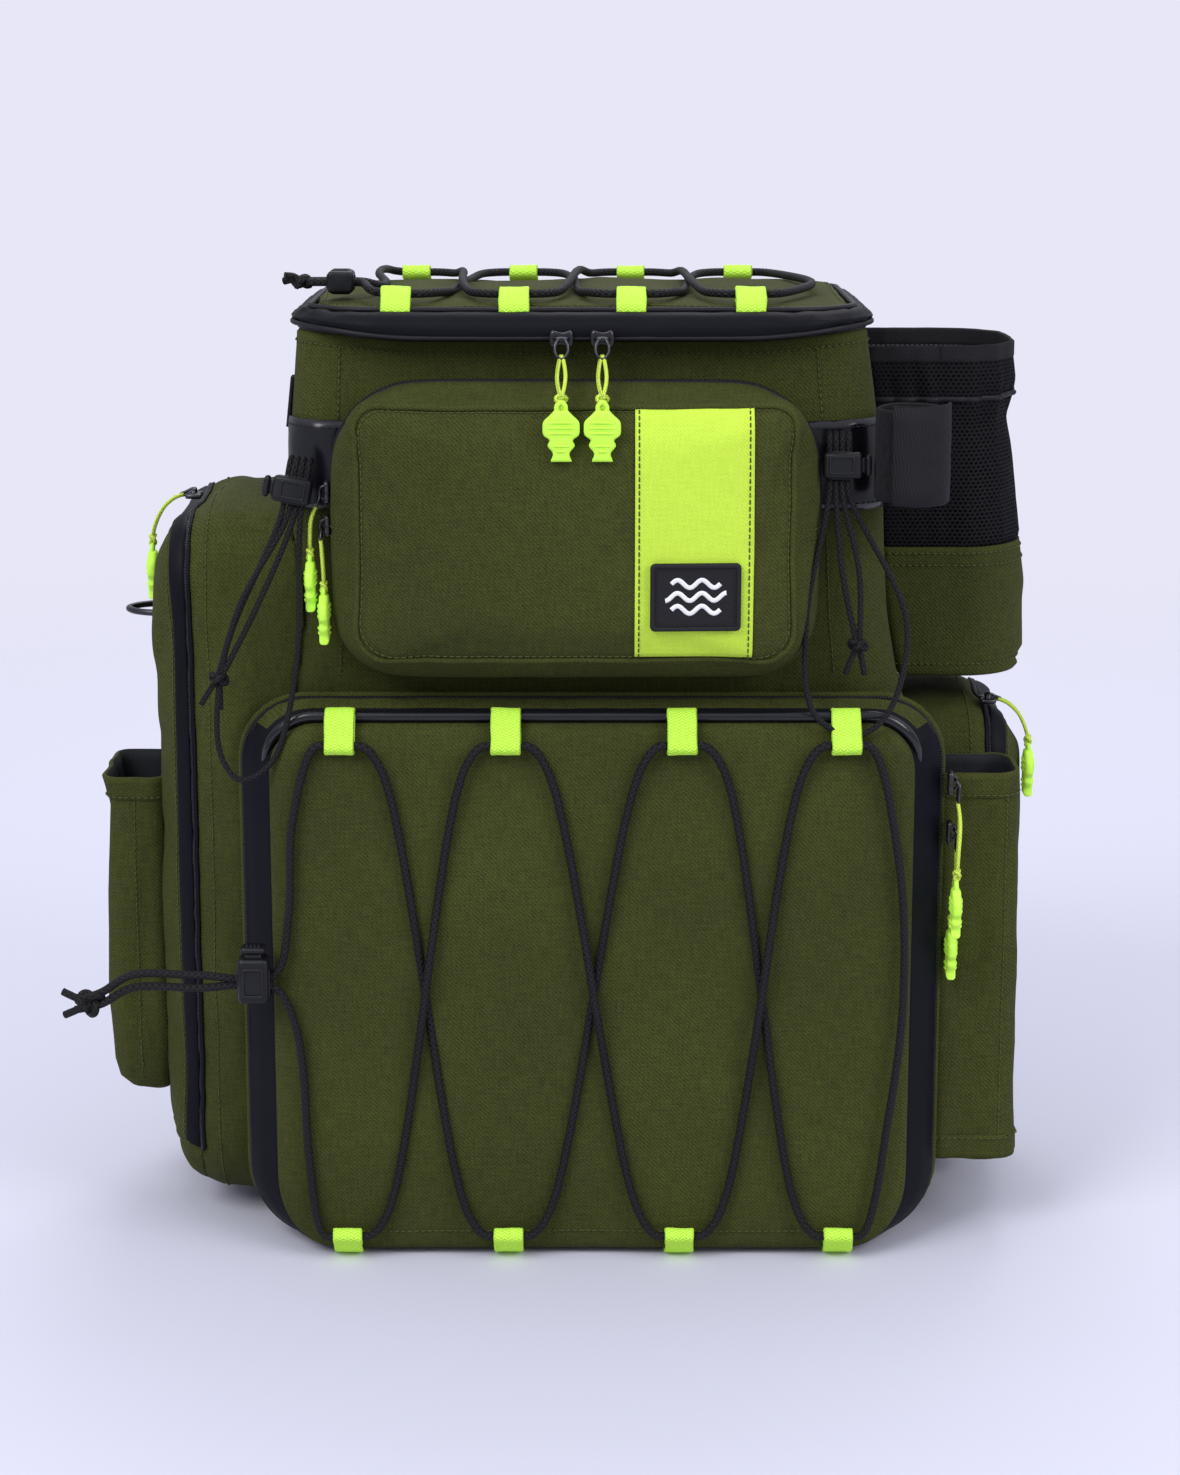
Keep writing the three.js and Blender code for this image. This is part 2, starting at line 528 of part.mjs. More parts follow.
// ---------------------------------------------------------------- tool loops
// Each loop hangs from the band: its four strands pass a cord lock, two make the loop and two the tail.
// Drawn hanging straight down from its anchor at the group's origin.
function toolLoop(name, anchor, turn, { left, right, bottom, tail, tailSet, buttonTurn }) {
  const group = new THREE.Group();
  group.position.set(...anchor);
  group.rotation.set(...turn.map(degToRad));
  backpack.add(group);
  const straight = -26; // how far down the strands run straight through the lock
  const [outer, inner] = [4.8, 1.6]; // where the loop's and the tail's strands pass the lock
  const bow = cord([
    [-outer, 0, 0], [-outer, 0, straight], [left, 0, -0.62 * bottom], [left * 0.72, 0, -0.93 * bottom],
    [(left + right) / 2, 0, -bottom],
    [right * 0.72, 0, -0.93 * bottom], [right, 0, -0.62 * bottom], [outer, 0, straight], [outer, 0, 0],
  ], THIN_CORD, 34, 5);
  const tails = [-inner, inner].map((x) =>
    cord([[x, 0, 0], [x, 0, straight], [tailSet + x * 0.9, 0, -tail]], THIN_CORD, 6, 5));
  const loose = [[0, 0, 0], [-5, -1, -9], [-8, -1, -17]].map(([x, y, z]) => [tailSet + x, y, z - tail]);
  const ends = cord(loose, THIN_CORD * 1.3, 2, 5);
  const knotBall = new THREE.SphereGeometry(4.4, 7, 5).translate(tailSet, 0, -tail);
  const bar = box([-7, 7], [-2, 2], [-1, 4]);
  add(`${name}_tool_loop`, joined(bar, bow, ...tails, knotBall, ends), elastic, group);
  cordLock(`${name}_loop`, [0, 0, straight / 2], buttonTurn, group);
}
toolLoop('left', [-145, -102.8, 411], [-6.5, 20, 0],
  { left: -18, right: 12, bottom: 164, tail: 112, tailSet: -8, buttonTurn: [0, -90, 0] });
toolLoop('right', [122.4, -103.8, 424], [-5.5, 0, 0],
  { left: -6.4, right: 24, bottom: 127, tail: 100, tailSet: 6, buttonTurn: [180, 90, 0] });

// ---------------------------------------------------------------- zip sliders and pulls
// A moulded grip: broad shoulders, a ribbed waist and a flared foot, hanging from its own top.
const gripHalf = [[3, 0], [9, -6], [9, -13], [5.5, -15], [7, -17.5], [3.5, -21.5], [5.2, -25]];
const gripOutline = [...gripHalf.map(([x, z]) => [-x, z]), ...[...gripHalf].reverse()];
const GRIP_THICK = 5;
// The grip's flat faces look along Y, or along X when edgeOn is set.
function grip([x, y, z], edgeOn) {
  const flat = slab(gripOutline, -GRIP_THICK / 2, GRIP_THICK / 2, forwards);
  if (edgeOn) flat.rotateZ(Math.PI / 2).scale(1, 0.75, 1);
  return flat.translate(x, y, z);
}
const PULL_CORD = 1.3; // radius of the thin cord between slider and grip
const pull = (path, edgeOn = false) =>
  joined(cord(path, PULL_CORD, path.length * 2, 5), grip(path.at(-1), edgeOn));
// A slider's body, a plain block over the teeth; size is [x, y, z].
const slider = (centre, size) =>
  box(...centre.map((middle, axis) => [middle - size[axis] / 2, middle + size[axis] / 2]));

for (const [side, x] of [['left', lean(BODY_TOP) - 10], ['right', lean(BODY_TOP) + 10]]) {
  const hang = [[-111.6, 471], [-117, 462], [-126, 456.5], [-134.6, 449.5], [-137.4, 443]];
  add(`lid_slider_${side}`, slider([x, -107, 474], [11, 4, 8]), gunmetal);
  add(`lid_pull_${side}`, pull(hang.map(([y, z]) => [x, y, z])), neon);
}
const doorPulls = {
  upper: { z: 248, path: [[185.4, -101, 245], [186.2, -106, 232], [185.2, -113, 215], [184.6, -114.4, 196]] },
  lower: { z: 222, path: [[185.4, -98.6, 219], [186, -98.4, 205], [184.6, -98.4, 187], [184.4, -98.4, 169]] },
};
for (const [side, { z, path }] of Object.entries(doorPulls)) {
  add(`door_slider_${side}`, slider([181.4, -101, z], [4, 8, 11]), gunmetal);
  add(`door_pull_${side}`, pull(path, true), neon);
}

// The remaining zips carry one-piece sliders, with the pull moulded on.
function pocketSlider(name, z, path, gripTop) {
  add(name, joined(
    slider([-133.4, -101, z], [4, 7, 11]), cord(path, PULL_CORD, 8, 5), grip(gripTop, true),
  ), neon);
}
pocketSlider('front_pocket_slider_upper', 397,
  [[-134, -102, 395], [-139, -103, 386], [-140.4, -104, 374], [-140.4, -105, 362]], [-140.4, -105, 363]);
pocketSlider('front_pocket_slider_lower', 380,
  [[-133.6, -104, 378], [-133.6, -107.6, 368], [-133.6, -108.6, 350], [-133.6, -108.6, 346]],
  [-133.6, -108.6, 347]);
function sideSlider(name, x, y, z, drop) {
  const sign = Math.sign(x);
  const out = (dx, dz) => [x + sign * dx, y, z + dz];
  add(name, joined(
    slider([x, y, z], [8, 11, 4]),
    cord([out(2, 2.4), out(10, 0.5), out(17, -6), out(22, -18), out(23, -drop)], PULL_CORD, 10, 5),
    grip(out(23, -drop + 1), true),
  ), neon);
}
sideSlider('left_pocket_slider', -LEFT_EDGE, -26, 382.4, 30);
sideSlider('right_pocket_slider', RIGHT_EDGE, -8, 269.4, 28);

// ---------------------------------------------------------------- back and harness
const PAD_Z = [44, 400]; // back pads, bottom and top
const padOutline = (x0, x1, inset) =>
  roundedRectangle(x0 + inset, x1 - inset, PAD_Z[0] + inset, PAD_Z[1] - inset, 24 - inset, 3);
const pad = (x0, x1) => loft([
  [padOutline(x0, x1, 0), BACK + GAP], [padOutline(x0, x1, 0), BACK + 10],
  [padOutline(x0, x1, 10), BACK + 17],
], backwards);
const airChannel = slab(roundedRectangle(-60, 60, 60, 384, 10, 2), BACK + GAP, BACK + 4, backwards);
add('back_pad', joined(pad(-118, -16), pad(16, 118), airChannel), blackMesh);

const handlePath = [
  [-36, 418], [-36, 432], [-30, 443], [-15, 448], [15, 448], [30, 443], [36, 432], [36, 418],
];
add('haul_handle', slab(strip(handlePath, 9), BACK + 1, BACK + 7, backwards), webbing);

// A shoulder strap is a padded band drawn from the side and splayed outwards as it goes down.
const strapSide = [
  [103, 432], [114, 447], [132, 447], [150, 425], [161, 380], [163, 320], [158, 255], [147, 195], [133, 145],
];
function shoulderStrap(name, sign) {
  const geometry = slab(strip(strapSide, 11), -27, 27, sideways);
  const position = geometry.getAttribute('position');
  for (let i = 0; i < position.count; i++) {
    const t = THREE.MathUtils.smoothstep(440 - position.getZ(i), 60, 260);
    position.setX(i, sign * (70 + 22 * t + position.getX(i) * (1 - 0.35 * t) * sign));
  }
  add(name, geometry, webbing);
}
shoulderStrap('left_shoulder_strap', -1);
shoulderStrap('right_shoulder_strap', 1);
// Lower webbing: from the strap's end to the body's bottom corner, 25 mm wide.
const webbingSide = [[134, 138], [127, 100], [118, 66], [106, 44], [98, 28]];
for (const [side, sign] of [['left', -1], ['right', 1]]) {
  const geometry = slab(strip(webbingSide, 2), -12.5, 12.5, sideways);
  const position = geometry.getAttribute('position');
  for (let i = 0; i < position.count; i++) {
    position.setX(i, position.getX(i) + sign * (94 + (46 * (138 - position.getZ(i))) / 110));
  }
  add(`${side}_lower_webbing`, geometry, webbing);
}

// Sternum strap: a socket half and a plug half that meet on the centre line.
const STERNUM = { y: 172, z: 318 };
// A block of the sternum strap: its x range, its y range from the strap's front, and half its height.
const sternumBlock = (x, [y0, y1], half) =>
  box(x, [STERNUM.y + y0, STERNUM.y + y1], [STERNUM.z - half, STERNUM.z + half]);
add('sternum_socket', cut(
  joined(sternumBlock([-84, -20], [0, 2], 10), sternumBlock([-22, 14], [-3, 5], 15)),
  sternumBlock([-8, 20], [-1.2, 3.2], 12.4),
), webbing);
add('sternum_plug', joined(
  sternumBlock([20, 84], [0, 2], 10),
  sternumBlock([15, 30], [-3, 5], 13),
  sternumBlock([-6, 16], [-0.6, 2.6], 11),
), webbing);

export default backpack;
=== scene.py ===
"""Tackle backpack: the looks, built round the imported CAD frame. Lengths are in mm until a mesh is made."""
import math

import bpy
import bmesh
import numpy as np
from mathutils import Matrix, Vector, kdtree, noise
from mathutils.bvhtree import BVHTree


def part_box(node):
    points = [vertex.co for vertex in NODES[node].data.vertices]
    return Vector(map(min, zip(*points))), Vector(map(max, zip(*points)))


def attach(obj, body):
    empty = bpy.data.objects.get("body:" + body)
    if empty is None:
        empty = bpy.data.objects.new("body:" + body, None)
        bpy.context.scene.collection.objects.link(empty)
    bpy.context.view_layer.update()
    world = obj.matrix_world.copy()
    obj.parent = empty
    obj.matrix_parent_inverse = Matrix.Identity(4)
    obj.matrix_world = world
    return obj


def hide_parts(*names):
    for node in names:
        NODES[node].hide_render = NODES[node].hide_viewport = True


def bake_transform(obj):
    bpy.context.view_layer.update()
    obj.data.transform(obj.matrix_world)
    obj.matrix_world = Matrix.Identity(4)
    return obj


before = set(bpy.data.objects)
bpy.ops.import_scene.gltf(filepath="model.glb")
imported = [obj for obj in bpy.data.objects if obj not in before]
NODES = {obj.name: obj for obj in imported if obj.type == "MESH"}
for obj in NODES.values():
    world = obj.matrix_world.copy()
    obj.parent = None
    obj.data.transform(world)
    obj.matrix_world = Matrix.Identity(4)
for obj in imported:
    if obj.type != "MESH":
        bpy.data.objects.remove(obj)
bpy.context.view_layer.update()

MM = 0.001
COUNT = 176  # points round a lofted outline
CORD = 2.0  # shock cord radius
THIN_CORD = 1.5  # tool loop cord radius
TAB_WIDTH = 15.0
LACE_HEIGHT = 4.9  # lacing cord's centre above the CAD panel it crosses
LOOP_SPREAD = 3.4  # half the spacing of two strands inside a cord lock
CORNER = 22.0  # radius of the body's upright corners
LID_TILT = math.radians(-2)


def box(node):
    """A CAD node's lowest and highest corners in mm."""
    lo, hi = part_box(node)
    return np.array(lo) / MM, np.array(hi) / MM


def node_middle(node):
    lo, hi = box(node)
    return (lo + hi) / 2


# ------------------------------------------------------------------ curves and outlines
def unit(vectors):
    return vectors / np.maximum(np.linalg.norm(vectors, axis=-1, keepdims=True), 1e-9)


def smooth(value, start, end):
    """0 before start, 1 after end, easing between them."""
    t = np.clip((value - start) / (end - start), 0, 1)
    return t * t * (3 - 2 * t)


def resample(points, step=None, count=None, closed=False):
    """The same line with evenly spaced points."""
    points = np.asarray(points, float)
    if closed:
        points = np.vstack([points, points[:1]])
    lengths = np.concatenate([[0], np.cumsum(np.linalg.norm(np.diff(points, axis=0), axis=1))])
    if count is None:
        count = max(3, int(round(lengths[-1] / step)) + (0 if closed else 1))
    at = np.linspace(0, lengths[-1], count, endpoint=not closed)
    return np.stack([np.interp(at, lengths, column) for column in points.T], axis=1)


def spline(points, step=2.0, closed=False):
    """A centripetal Catmull-Rom curve through points."""
    p = np.asarray(points, float)
    if closed:
        p = np.vstack([p[-1:], p, p[:2]])
    else:
        p = np.vstack([2 * p[0] - p[1], p, 2 * p[-1] - p[-2]])
    line = []
    for p0, p1, p2, p3 in zip(p, p[1:], p[2:], p[3:]):
        t1 = np.linalg.norm(p1 - p0) ** 0.5
        t2 = t1 + np.linalg.norm(p2 - p1) ** 0.5
        t3 = t2 + np.linalg.norm(p3 - p2) ** 0.5
        for t in np.linspace(t1, t2, 12, endpoint=False):
            a1 = p0 + (p1 - p0) * t / t1
            a2 = p1 + (p2 - p1) * (t - t1) / (t2 - t1)
            a3 = p2 + (p3 - p2) * (t - t2) / (t3 - t2)
            b1 = a1 + (a2 - a1) * t / t2
            b2 = a2 + (a3 - a2) * (t - t1) / (t3 - t1)
            line.append(b1 + (b2 - b1) * (t - t1) / (t2 - t1))
    if not closed:
        line.append(p[-2])
    return resample(line, step, closed=closed)


def averaged(points, reach=4, closed=False):
    """The line with each point moved to the middle of its neighbours, which takes small lumps out."""
    total = np.zeros_like(points)
    for shift in range(-reach, reach + 1):
        if closed:
            total += np.roll(points, shift, axis=0)
        else:
            total += points[np.clip(np.arange(len(points)) + shift, 0, len(points) - 1)]
    return total / (2 * reach + 1)


def arc(cx, cy, radius, start, end, steps=12):
    angles = np.radians(np.linspace(start, end, steps + 1))
    return np.stack([cx + radius * np.cos(angles), cy + radius * np.sin(angles)], axis=1)


def rounded(rect, radii, inset=0.0, count=COUNT):
    """A rectangle (x0, x1, y0, y1) with round corners, anticlockwise from the middle of its lower side."""
    x0, x1, y0, y1 = np.array(rect, float) + np.array([1, -1, 1, -1]) * inset
    limit = min(x1 - x0, y1 - y0) * 0.49
    bl, br, tr, tl = np.clip(np.broadcast_to(radii, 4) - inset, 0.4, limit)
    line = np.vstack([
        [[(x0 + x1) / 2, y0]],
        arc(x1 - br, y0 + br, br, -90, 0), arc(x1 - tr, y1 - tr, tr, 0, 90),
        arc(x0 + tl, y1 - tl, tl, 90, 180), arc(x0 + bl, y0 + bl, bl, 180, 270),
    ])
    return resample(line, count=count, closed=True)


# Ways to lay (u, v, w) in space: w comes out of the surface.
FRONT = np.array([[1, 0, 0], [0, 0, 1], [0, -1, 0]])
REAR = np.array([[-1, 0, 0], [0, 0, 1], [0, 1, 0]])
LEFT = np.array([[0, -1, 0], [0, 0, 1], [-1, 0, 0]])
RIGHT = np.array([[0, 1, 0], [0, 0, 1], [1, 0, 0]])
TOP = np.eye(3)
DOWN_FRONT = np.array([[0, 0, -1], [1, 0, 0], [0, -1, 0]])  # v runs sideways along the front
BACKWARDS = np.array([[1, 0, 0], [0, 0, 1], [0, 1, 0]])  # u to the right, w to the back


# ------------------------------------------------------------------ shapes: (points, faces[, uvs])
def lay(shape, axes=TOP, origin=(0, 0, 0)):
    """Moves a shape drawn in (u, v, w) onto the given axes."""
    points, *rest = shape
    return (points @ np.asarray(axes) + np.asarray(origin), *rest)


def merged(shapes):
    points, faces, uvs, start = [], [], [], 0
    for shape in shapes:
        points.append(shape[0])
        faces += [tuple(i + start for i in face) for face in shape[1]]
        uvs.append(shape[2] if len(shape) > 2 else np.zeros((len(shape[0]), 2)))
        start += len(shape[0])
    return np.vstack(points), faces, np.vstack(uvs)


def through(rings, start=False, end=False, wrap=False):
    """A skin through rings of points; start and end close it with a fan, wrap joins its two ends."""
    points = [np.asarray(ring) for ring in rings]
    rings = list(points)
    count = len(rings[0])
    faces = []
    pairs = [(k, k + 1) for k in range(len(rings) - 1)]
    if wrap:
        pairs.append((len(rings) - 1, 0))
    for a, b in pairs:
        for i in range(count):
            j = (i + 1) % count
            faces.append((a * count + i, a * count + j, b * count + j, b * count + i))
    total = len(rings) * count
    for wanted, ring, base, order in ((start, rings[0], 0, -1), (end, rings[-1], total - count, 1)):
        if wanted:
            points.append(ring.mean(axis=0, keepdims=True))
            for i in range(count):
                faces.append((base + i, base + (i + 1) % count, total)[::order])
            total += 1
    return np.vstack(points), faces


def with_height(outline, height):
    return np.column_stack([outline, np.broadcast_to(height, len(outline))])


def closing(ring, crown, steps=12):
    """Rings inside a ring that shrink towards its middle and rise by crown on the way."""
    centre = ring.mean(axis=0)
    out = []
    for s in np.linspace(1, 0.05, steps)[1:]:
        inner = centre + (ring - centre) * s
        inner[:, 2] = ring[:, 2] + crown * (1 - s ** 2)
        out.append(inner)
    return out


def bowl(rings, crown=0.0):
    """A skin through rings, closed at its first one."""
    return through([*closing(rings[0], crown)[::-1], *rings], start=True)


def closed_form(rings, back=0.0, crown=0.0, steps=12):
    """A skin through rings, closed at both ends; each end is domed by its own height."""
    behind = closing(rings[0], back, steps)[::-1]
    return through([*behind, *rings, *closing(rings[-1], crown, steps)], start=True, end=True)


def cushion(rect, radii, profile, crown=0.0, back=0.0):
    """A closed pad: profile lists (w, inset) from its back edge to its front one; the front is crowned."""
    rings = [with_height(rounded(rect, radii, inset), w) for w, inset in profile]
    return closed_form(rings, back, crown)


def border(rect, radii, profile):
    """A ring-shaped rail: profile is its section as (w, inset), round which the skin closes."""
    return through([with_height(rounded(rect, radii, inset), w) for w, inset in profile], wrap=True)


def tangents(path, closed):
    if closed:
        return unit(np.roll(path, -1, axis=0) - np.roll(path, 1, axis=0))
    return unit(np.gradient(path, axis=0))


def transported(along, closed):
    """Normals that follow a path without twisting."""
    first = np.cross(along[0], [0.31, 0.87, 0.38])
    normals = [unit(first)]
    for tangent in along[1:]:
        n = normals[-1] - tangent * np.dot(normals[-1], tangent)
        normals.append(unit(n))
    normals = np.array(normals)
    if closed:
        last = unit(normals[-1] - along[0] * np.dot(normals[-1], along[0]))
        side = np.cross(along[0], last)
        twist = math.atan2(np.dot(side, normals[0]), np.dot(last, normals[0]))
        turn = np.linspace(0, twist, len(along))[:, None]
        normals = normals * np.cos(turn) + np.cross(along, normals) * np.sin(turn)
    return normals


def sweep(path, section, normals=None, closed=False, scale=None):
    """A section of (side, up) points carried along a path; up follows the normals.

    Its UVs are the length along it in mm, and 0 to 1 round it.
    """
    path = np.asarray(path, float)
    section = np.asarray(section, float)
    along = tangents(path, closed)
    if normals is None:
        up = transported(along, closed)
    else:
        up = np.broadcast_to(np.asarray(normals, float), path.shape)
        up = unit(up - along * np.sum(up * along, axis=1, keepdims=True))
    side = np.cross(along, up)
    size = np.ones(len(path)) if scale is None else np.asarray(scale)
    rings = [p + (section[:, :1] * s + section[:, 1:] * n) * k for p, s, n, k in zip(path, side, up, size)]
    points, faces = through(rings, start=not closed, end=not closed, wrap=closed)
    length = np.concatenate([[0], np.cumsum(np.linalg.norm(np.diff(path, axis=0), axis=1))])
    count = len(section)
    uvs = np.column_stack([np.repeat(length, count), np.tile(np.arange(count) / count, len(path))])
    if not closed:
        uvs = np.vstack([uvs, [[length[0], 0.5], [length[-1], 0.5]]])
    return points, faces, uvs


def ellipse(a, b, sides=10):
    return arc(0, 0, 1, 0, 360 - 360 / sides, sides - 1) * [a, b]


def tube(path, radius, closed=False, sides=10, scale=None):
    return sweep(path, ellipse(radius, radius, sides), closed=closed, scale=scale)


def ribbon(path, normals, width, thickness=1.3, closed=False):
    """Webbing: a flat band with soft edges."""
    half, t = width / 2, thickness / 2
    across = np.linspace(-half + t, half - t, 7)
    section = [(-half, 0), *[(x, -t) for x in across], (half, 0), *[(x, t) for x in across[::-1]]]
    return sweep(path, section, normals, closed)


def stitching(path, normals, pitch=3.4, length=2.5, thread=0.42, closed=False):
    """A row of thread stitches lying on a surface."""
    lift = 0.12
    stitch = ((-0.5, -0.8), (-0.36, 0), (0, 0.25), (0.36, 0), (0.5, -0.8))
    path = np.asarray(path, float)
    normals = np.broadcast_to(np.asarray(normals, float), path.shape)
    both = resample(np.hstack([path, normals * 1e-4]), pitch, closed=closed)
    centres, ups = both[:, :3], unit(both[:, 3:])
    along = tangents(centres, closed)
    shapes = []
    for c, t, n in zip(centres, along, ups):
        bent = np.array([c + n * lift + t * length * k + n * thread * h for k, h in stitch])
        shapes.append(tube(bent, thread, sides=5, scale=[0.5, 1, 1, 1, 0.5]))
    return merged(shapes)


# ------------------------------------------------------------------ pieces
def make_object(name, shape, finishes):
    points, faces = shape[:2]
    mesh = bpy.data.meshes.new(name)
    mesh.from_pydata((points * MM).tolist(), [], faces)
    if len(shape) > 2:
        layer = mesh.uv_layers.new(name="along")
        loops = np.empty(len(mesh.loops), int)
        mesh.loops.foreach_get("vertex_index", loops)
        layer.data.foreach_set("uv", shape[2][loops].astype(np.float32).ravel())
    obj = bpy.data.objects.new(name, mesh)
    bpy.context.scene.collection.objects.link(obj)
    for finish in finishes:
        mesh.materials.append(finish.material)
    return obj


def piece(name, shape, finish, body, replaces=(), inner=None, recalculate=True):
    """A visible piece that rides on a CAD body (unless it is given none) and may stand for CAD nodes."""
    obj = make_object(name, shape, [finish, inner] if inner else [finish])
    if recalculate:
        work = bmesh.new()
        work.from_mesh(obj.data)
        bmesh.ops.recalc_face_normals(work, faces=work.faces)
        work.to_mesh(obj.data)
        work.free()
    obj.data.shade_smooth()
    if body:
        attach(obj, body)
    if replaces:
        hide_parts(*replaces)
    return obj


def apply(obj, kind, **settings):
    """Adds one modifier and keeps its result as the mesh."""
    modifier = obj.modifiers.new(kind.lower(), kind)
    for name, value in settings.items():
        setattr(modifier, name, value)
    evaluated = obj.evaluated_get(bpy.context.evaluated_depsgraph_get())
    mesh = bpy.data.meshes.new_from_object(evaluated)
    obj.modifiers.clear()
    obj.data = mesh
    mesh.shade_smooth()
    return obj


def thicken(obj, thickness, inner_slot=1):
    """Gives a sheet its thickness on the inside; the inside shows the second finish."""
    return apply(obj, "SOLIDIFY", thickness=thickness * MM, offset=-1, use_even_offset=True,
                 material_offset=inner_slot, material_offset_rim=0)


def coordinates(obj):
    flat = np.empty(len(obj.data.vertices) * 3)
    obj.data.vertices.foreach_get("co", flat)
    return flat.reshape(-1, 3)


def set_coordinates(obj, points):
    obj.data.vertices.foreach_set("co", points.ravel())
    obj.data.update()


def normals_of(obj):
    flat = np.empty(len(obj.data.vertices) * 3)
    obj.data.vertices.foreach_get("normal", flat)
    return flat.reshape(-1, 3)


def ripple(points, size, seed):
    """Smooth noise at points in metres; size is in mm and may differ by axis."""
    scaled = points / (np.broadcast_to(size, 3) * MM) + seed * np.array([3.1, 1.7, 2.3])
    return np.array([noise.noise(Vector(p)) + 0.45 * noise.noise(Vector(p * 2.3)) for p in scaled])


def rumple(obj, amount, size, seed, where=None):
    """Fabric is never flat: points move along their normals by smooth noise."""
    points = coordinates(obj)
    shift = ripple(points, size, seed) * amount * MM
    if where is not None:
        shift = shift * where(points / MM)
    set_coordinates(obj, points + normals_of(obj) * shift[:, None])
    return obj


def seam_pull(obj, path, reach, depth, pucker=0.0, pitch=7.0, seed=1):
    """Draws a surface in along a seam, with the small puckers that stitching leaves."""
    path = np.asarray(path, float)
    tree = kdtree.KDTree(len(path))
    for i, p in enumerate(path):
        tree.insert(p * MM, i)
    tree.balance()
    points = coordinates(obj)
    distance = np.array([tree.find(p)[2] for p in points]) / MM
    near = np.clip(1 - distance / reach, 0, 1) ** 2
    shift = (-depth + pucker * ripple(points, pitch, seed)) * near * MM
    set_coordinates(obj, points + normals_of(obj) * shift[:, None])
    return obj


PROBE_START, PROBE_LENGTH = 0.06, 0.2  # where a ray towards a surface starts and how far it looks, in metres


def hug(path, *surfaces, lift=0.0, direction=None):
    """Drops a path onto the nearest of some surfaces; returns the path and the normals there."""
    trees = []
    for obj in surfaces:
        polygons = [tuple(p.vertices) for p in obj.data.polygons]
        trees.append(BVHTree.FromPolygons([v.co.copy() for v in obj.data.vertices], polygons))
    found, ups = [], []
    for p in np.asarray(path, float) * MM:
        if direction is not None:
            aim = Vector(direction).normalized()
            hits = [tree.ray_cast(Vector(p) - aim * PROBE_START, aim, PROBE_LENGTH) for tree in trees]
        else:
            hits = [tree.find_nearest(Vector(p)) for tree in trees]
        hits = [hit for hit in hits if hit[0] is not None]
        if not hits:
            found.append(p / MM)
            ups.append(ups[-1] if ups else np.array([0, 0, 1.0]))
            continue
        spot, normal, *_ = min(hits, key=lambda hit: hit[3])
        if direction is not None and normal.dot(Vector(direction)) > 0:
            normal = -normal
        found.append(np.array(spot) / MM + np.array(normal) * lift)
        ups.append(np.array(normal))
    ups = np.array(ups)
    padded = np.vstack([ups[:1], ups, ups[-1:]])
    return np.array(found), unit(padded[:-2] + 2 * ups + padded[2:])


CLOTH_PRESSURE = 4.0
CLOTH_STIFFNESS = 12
CLOTH_FRAMES = 20


def inflate(obj, cap, pinned, voxel):
    """Lets cloth swell under a little pressure, as padding does; no point moves further than cap."""
    apply(obj, "REMESH", mode="VOXEL", voxel_size=voxel * MM)
    start = coordinates(obj)
    cloth = obj.modifiers.new("cloth", "CLOTH")
    settings = cloth.settings
    settings.quality = 4
    settings.use_pressure = True
    settings.uniform_pressure_force = CLOTH_PRESSURE
    settings.effector_weights.gravity = 0
    settings.tension_stiffness = CLOTH_STIFFNESS
    settings.compression_stiffness = CLOTH_STIFFNESS
    cloth.collision_settings.use_collision = False
    group = obj.vertex_groups.new(name="pinned")
    held = np.nonzero(pinned(start / MM))[0]
    group.add(held.tolist(), 1.0, "REPLACE")
    settings.vertex_group_mass = "pinned"
    scene = bpy.context.scene
    for number in range(1, CLOTH_FRAMES + 1):
        scene.frame_set(number)
    evaluated = obj.evaluated_get(bpy.context.evaluated_depsgraph_get())
    flat = np.empty(len(start) * 3)
    evaluated.data.vertices.foreach_get("co", flat)
    move = flat.reshape(-1, 3) - start
    length = np.maximum(np.linalg.norm(move, axis=1, keepdims=True), 1e-9)
    limit = cap * MM
    obj.modifiers.clear()
    obj.vertex_groups.clear()
    set_coordinates(obj, start + move / length * limit * np.tanh(length / limit))
    scene.frame_set(1)
    return apply(obj, "SUBSURF", levels=1)


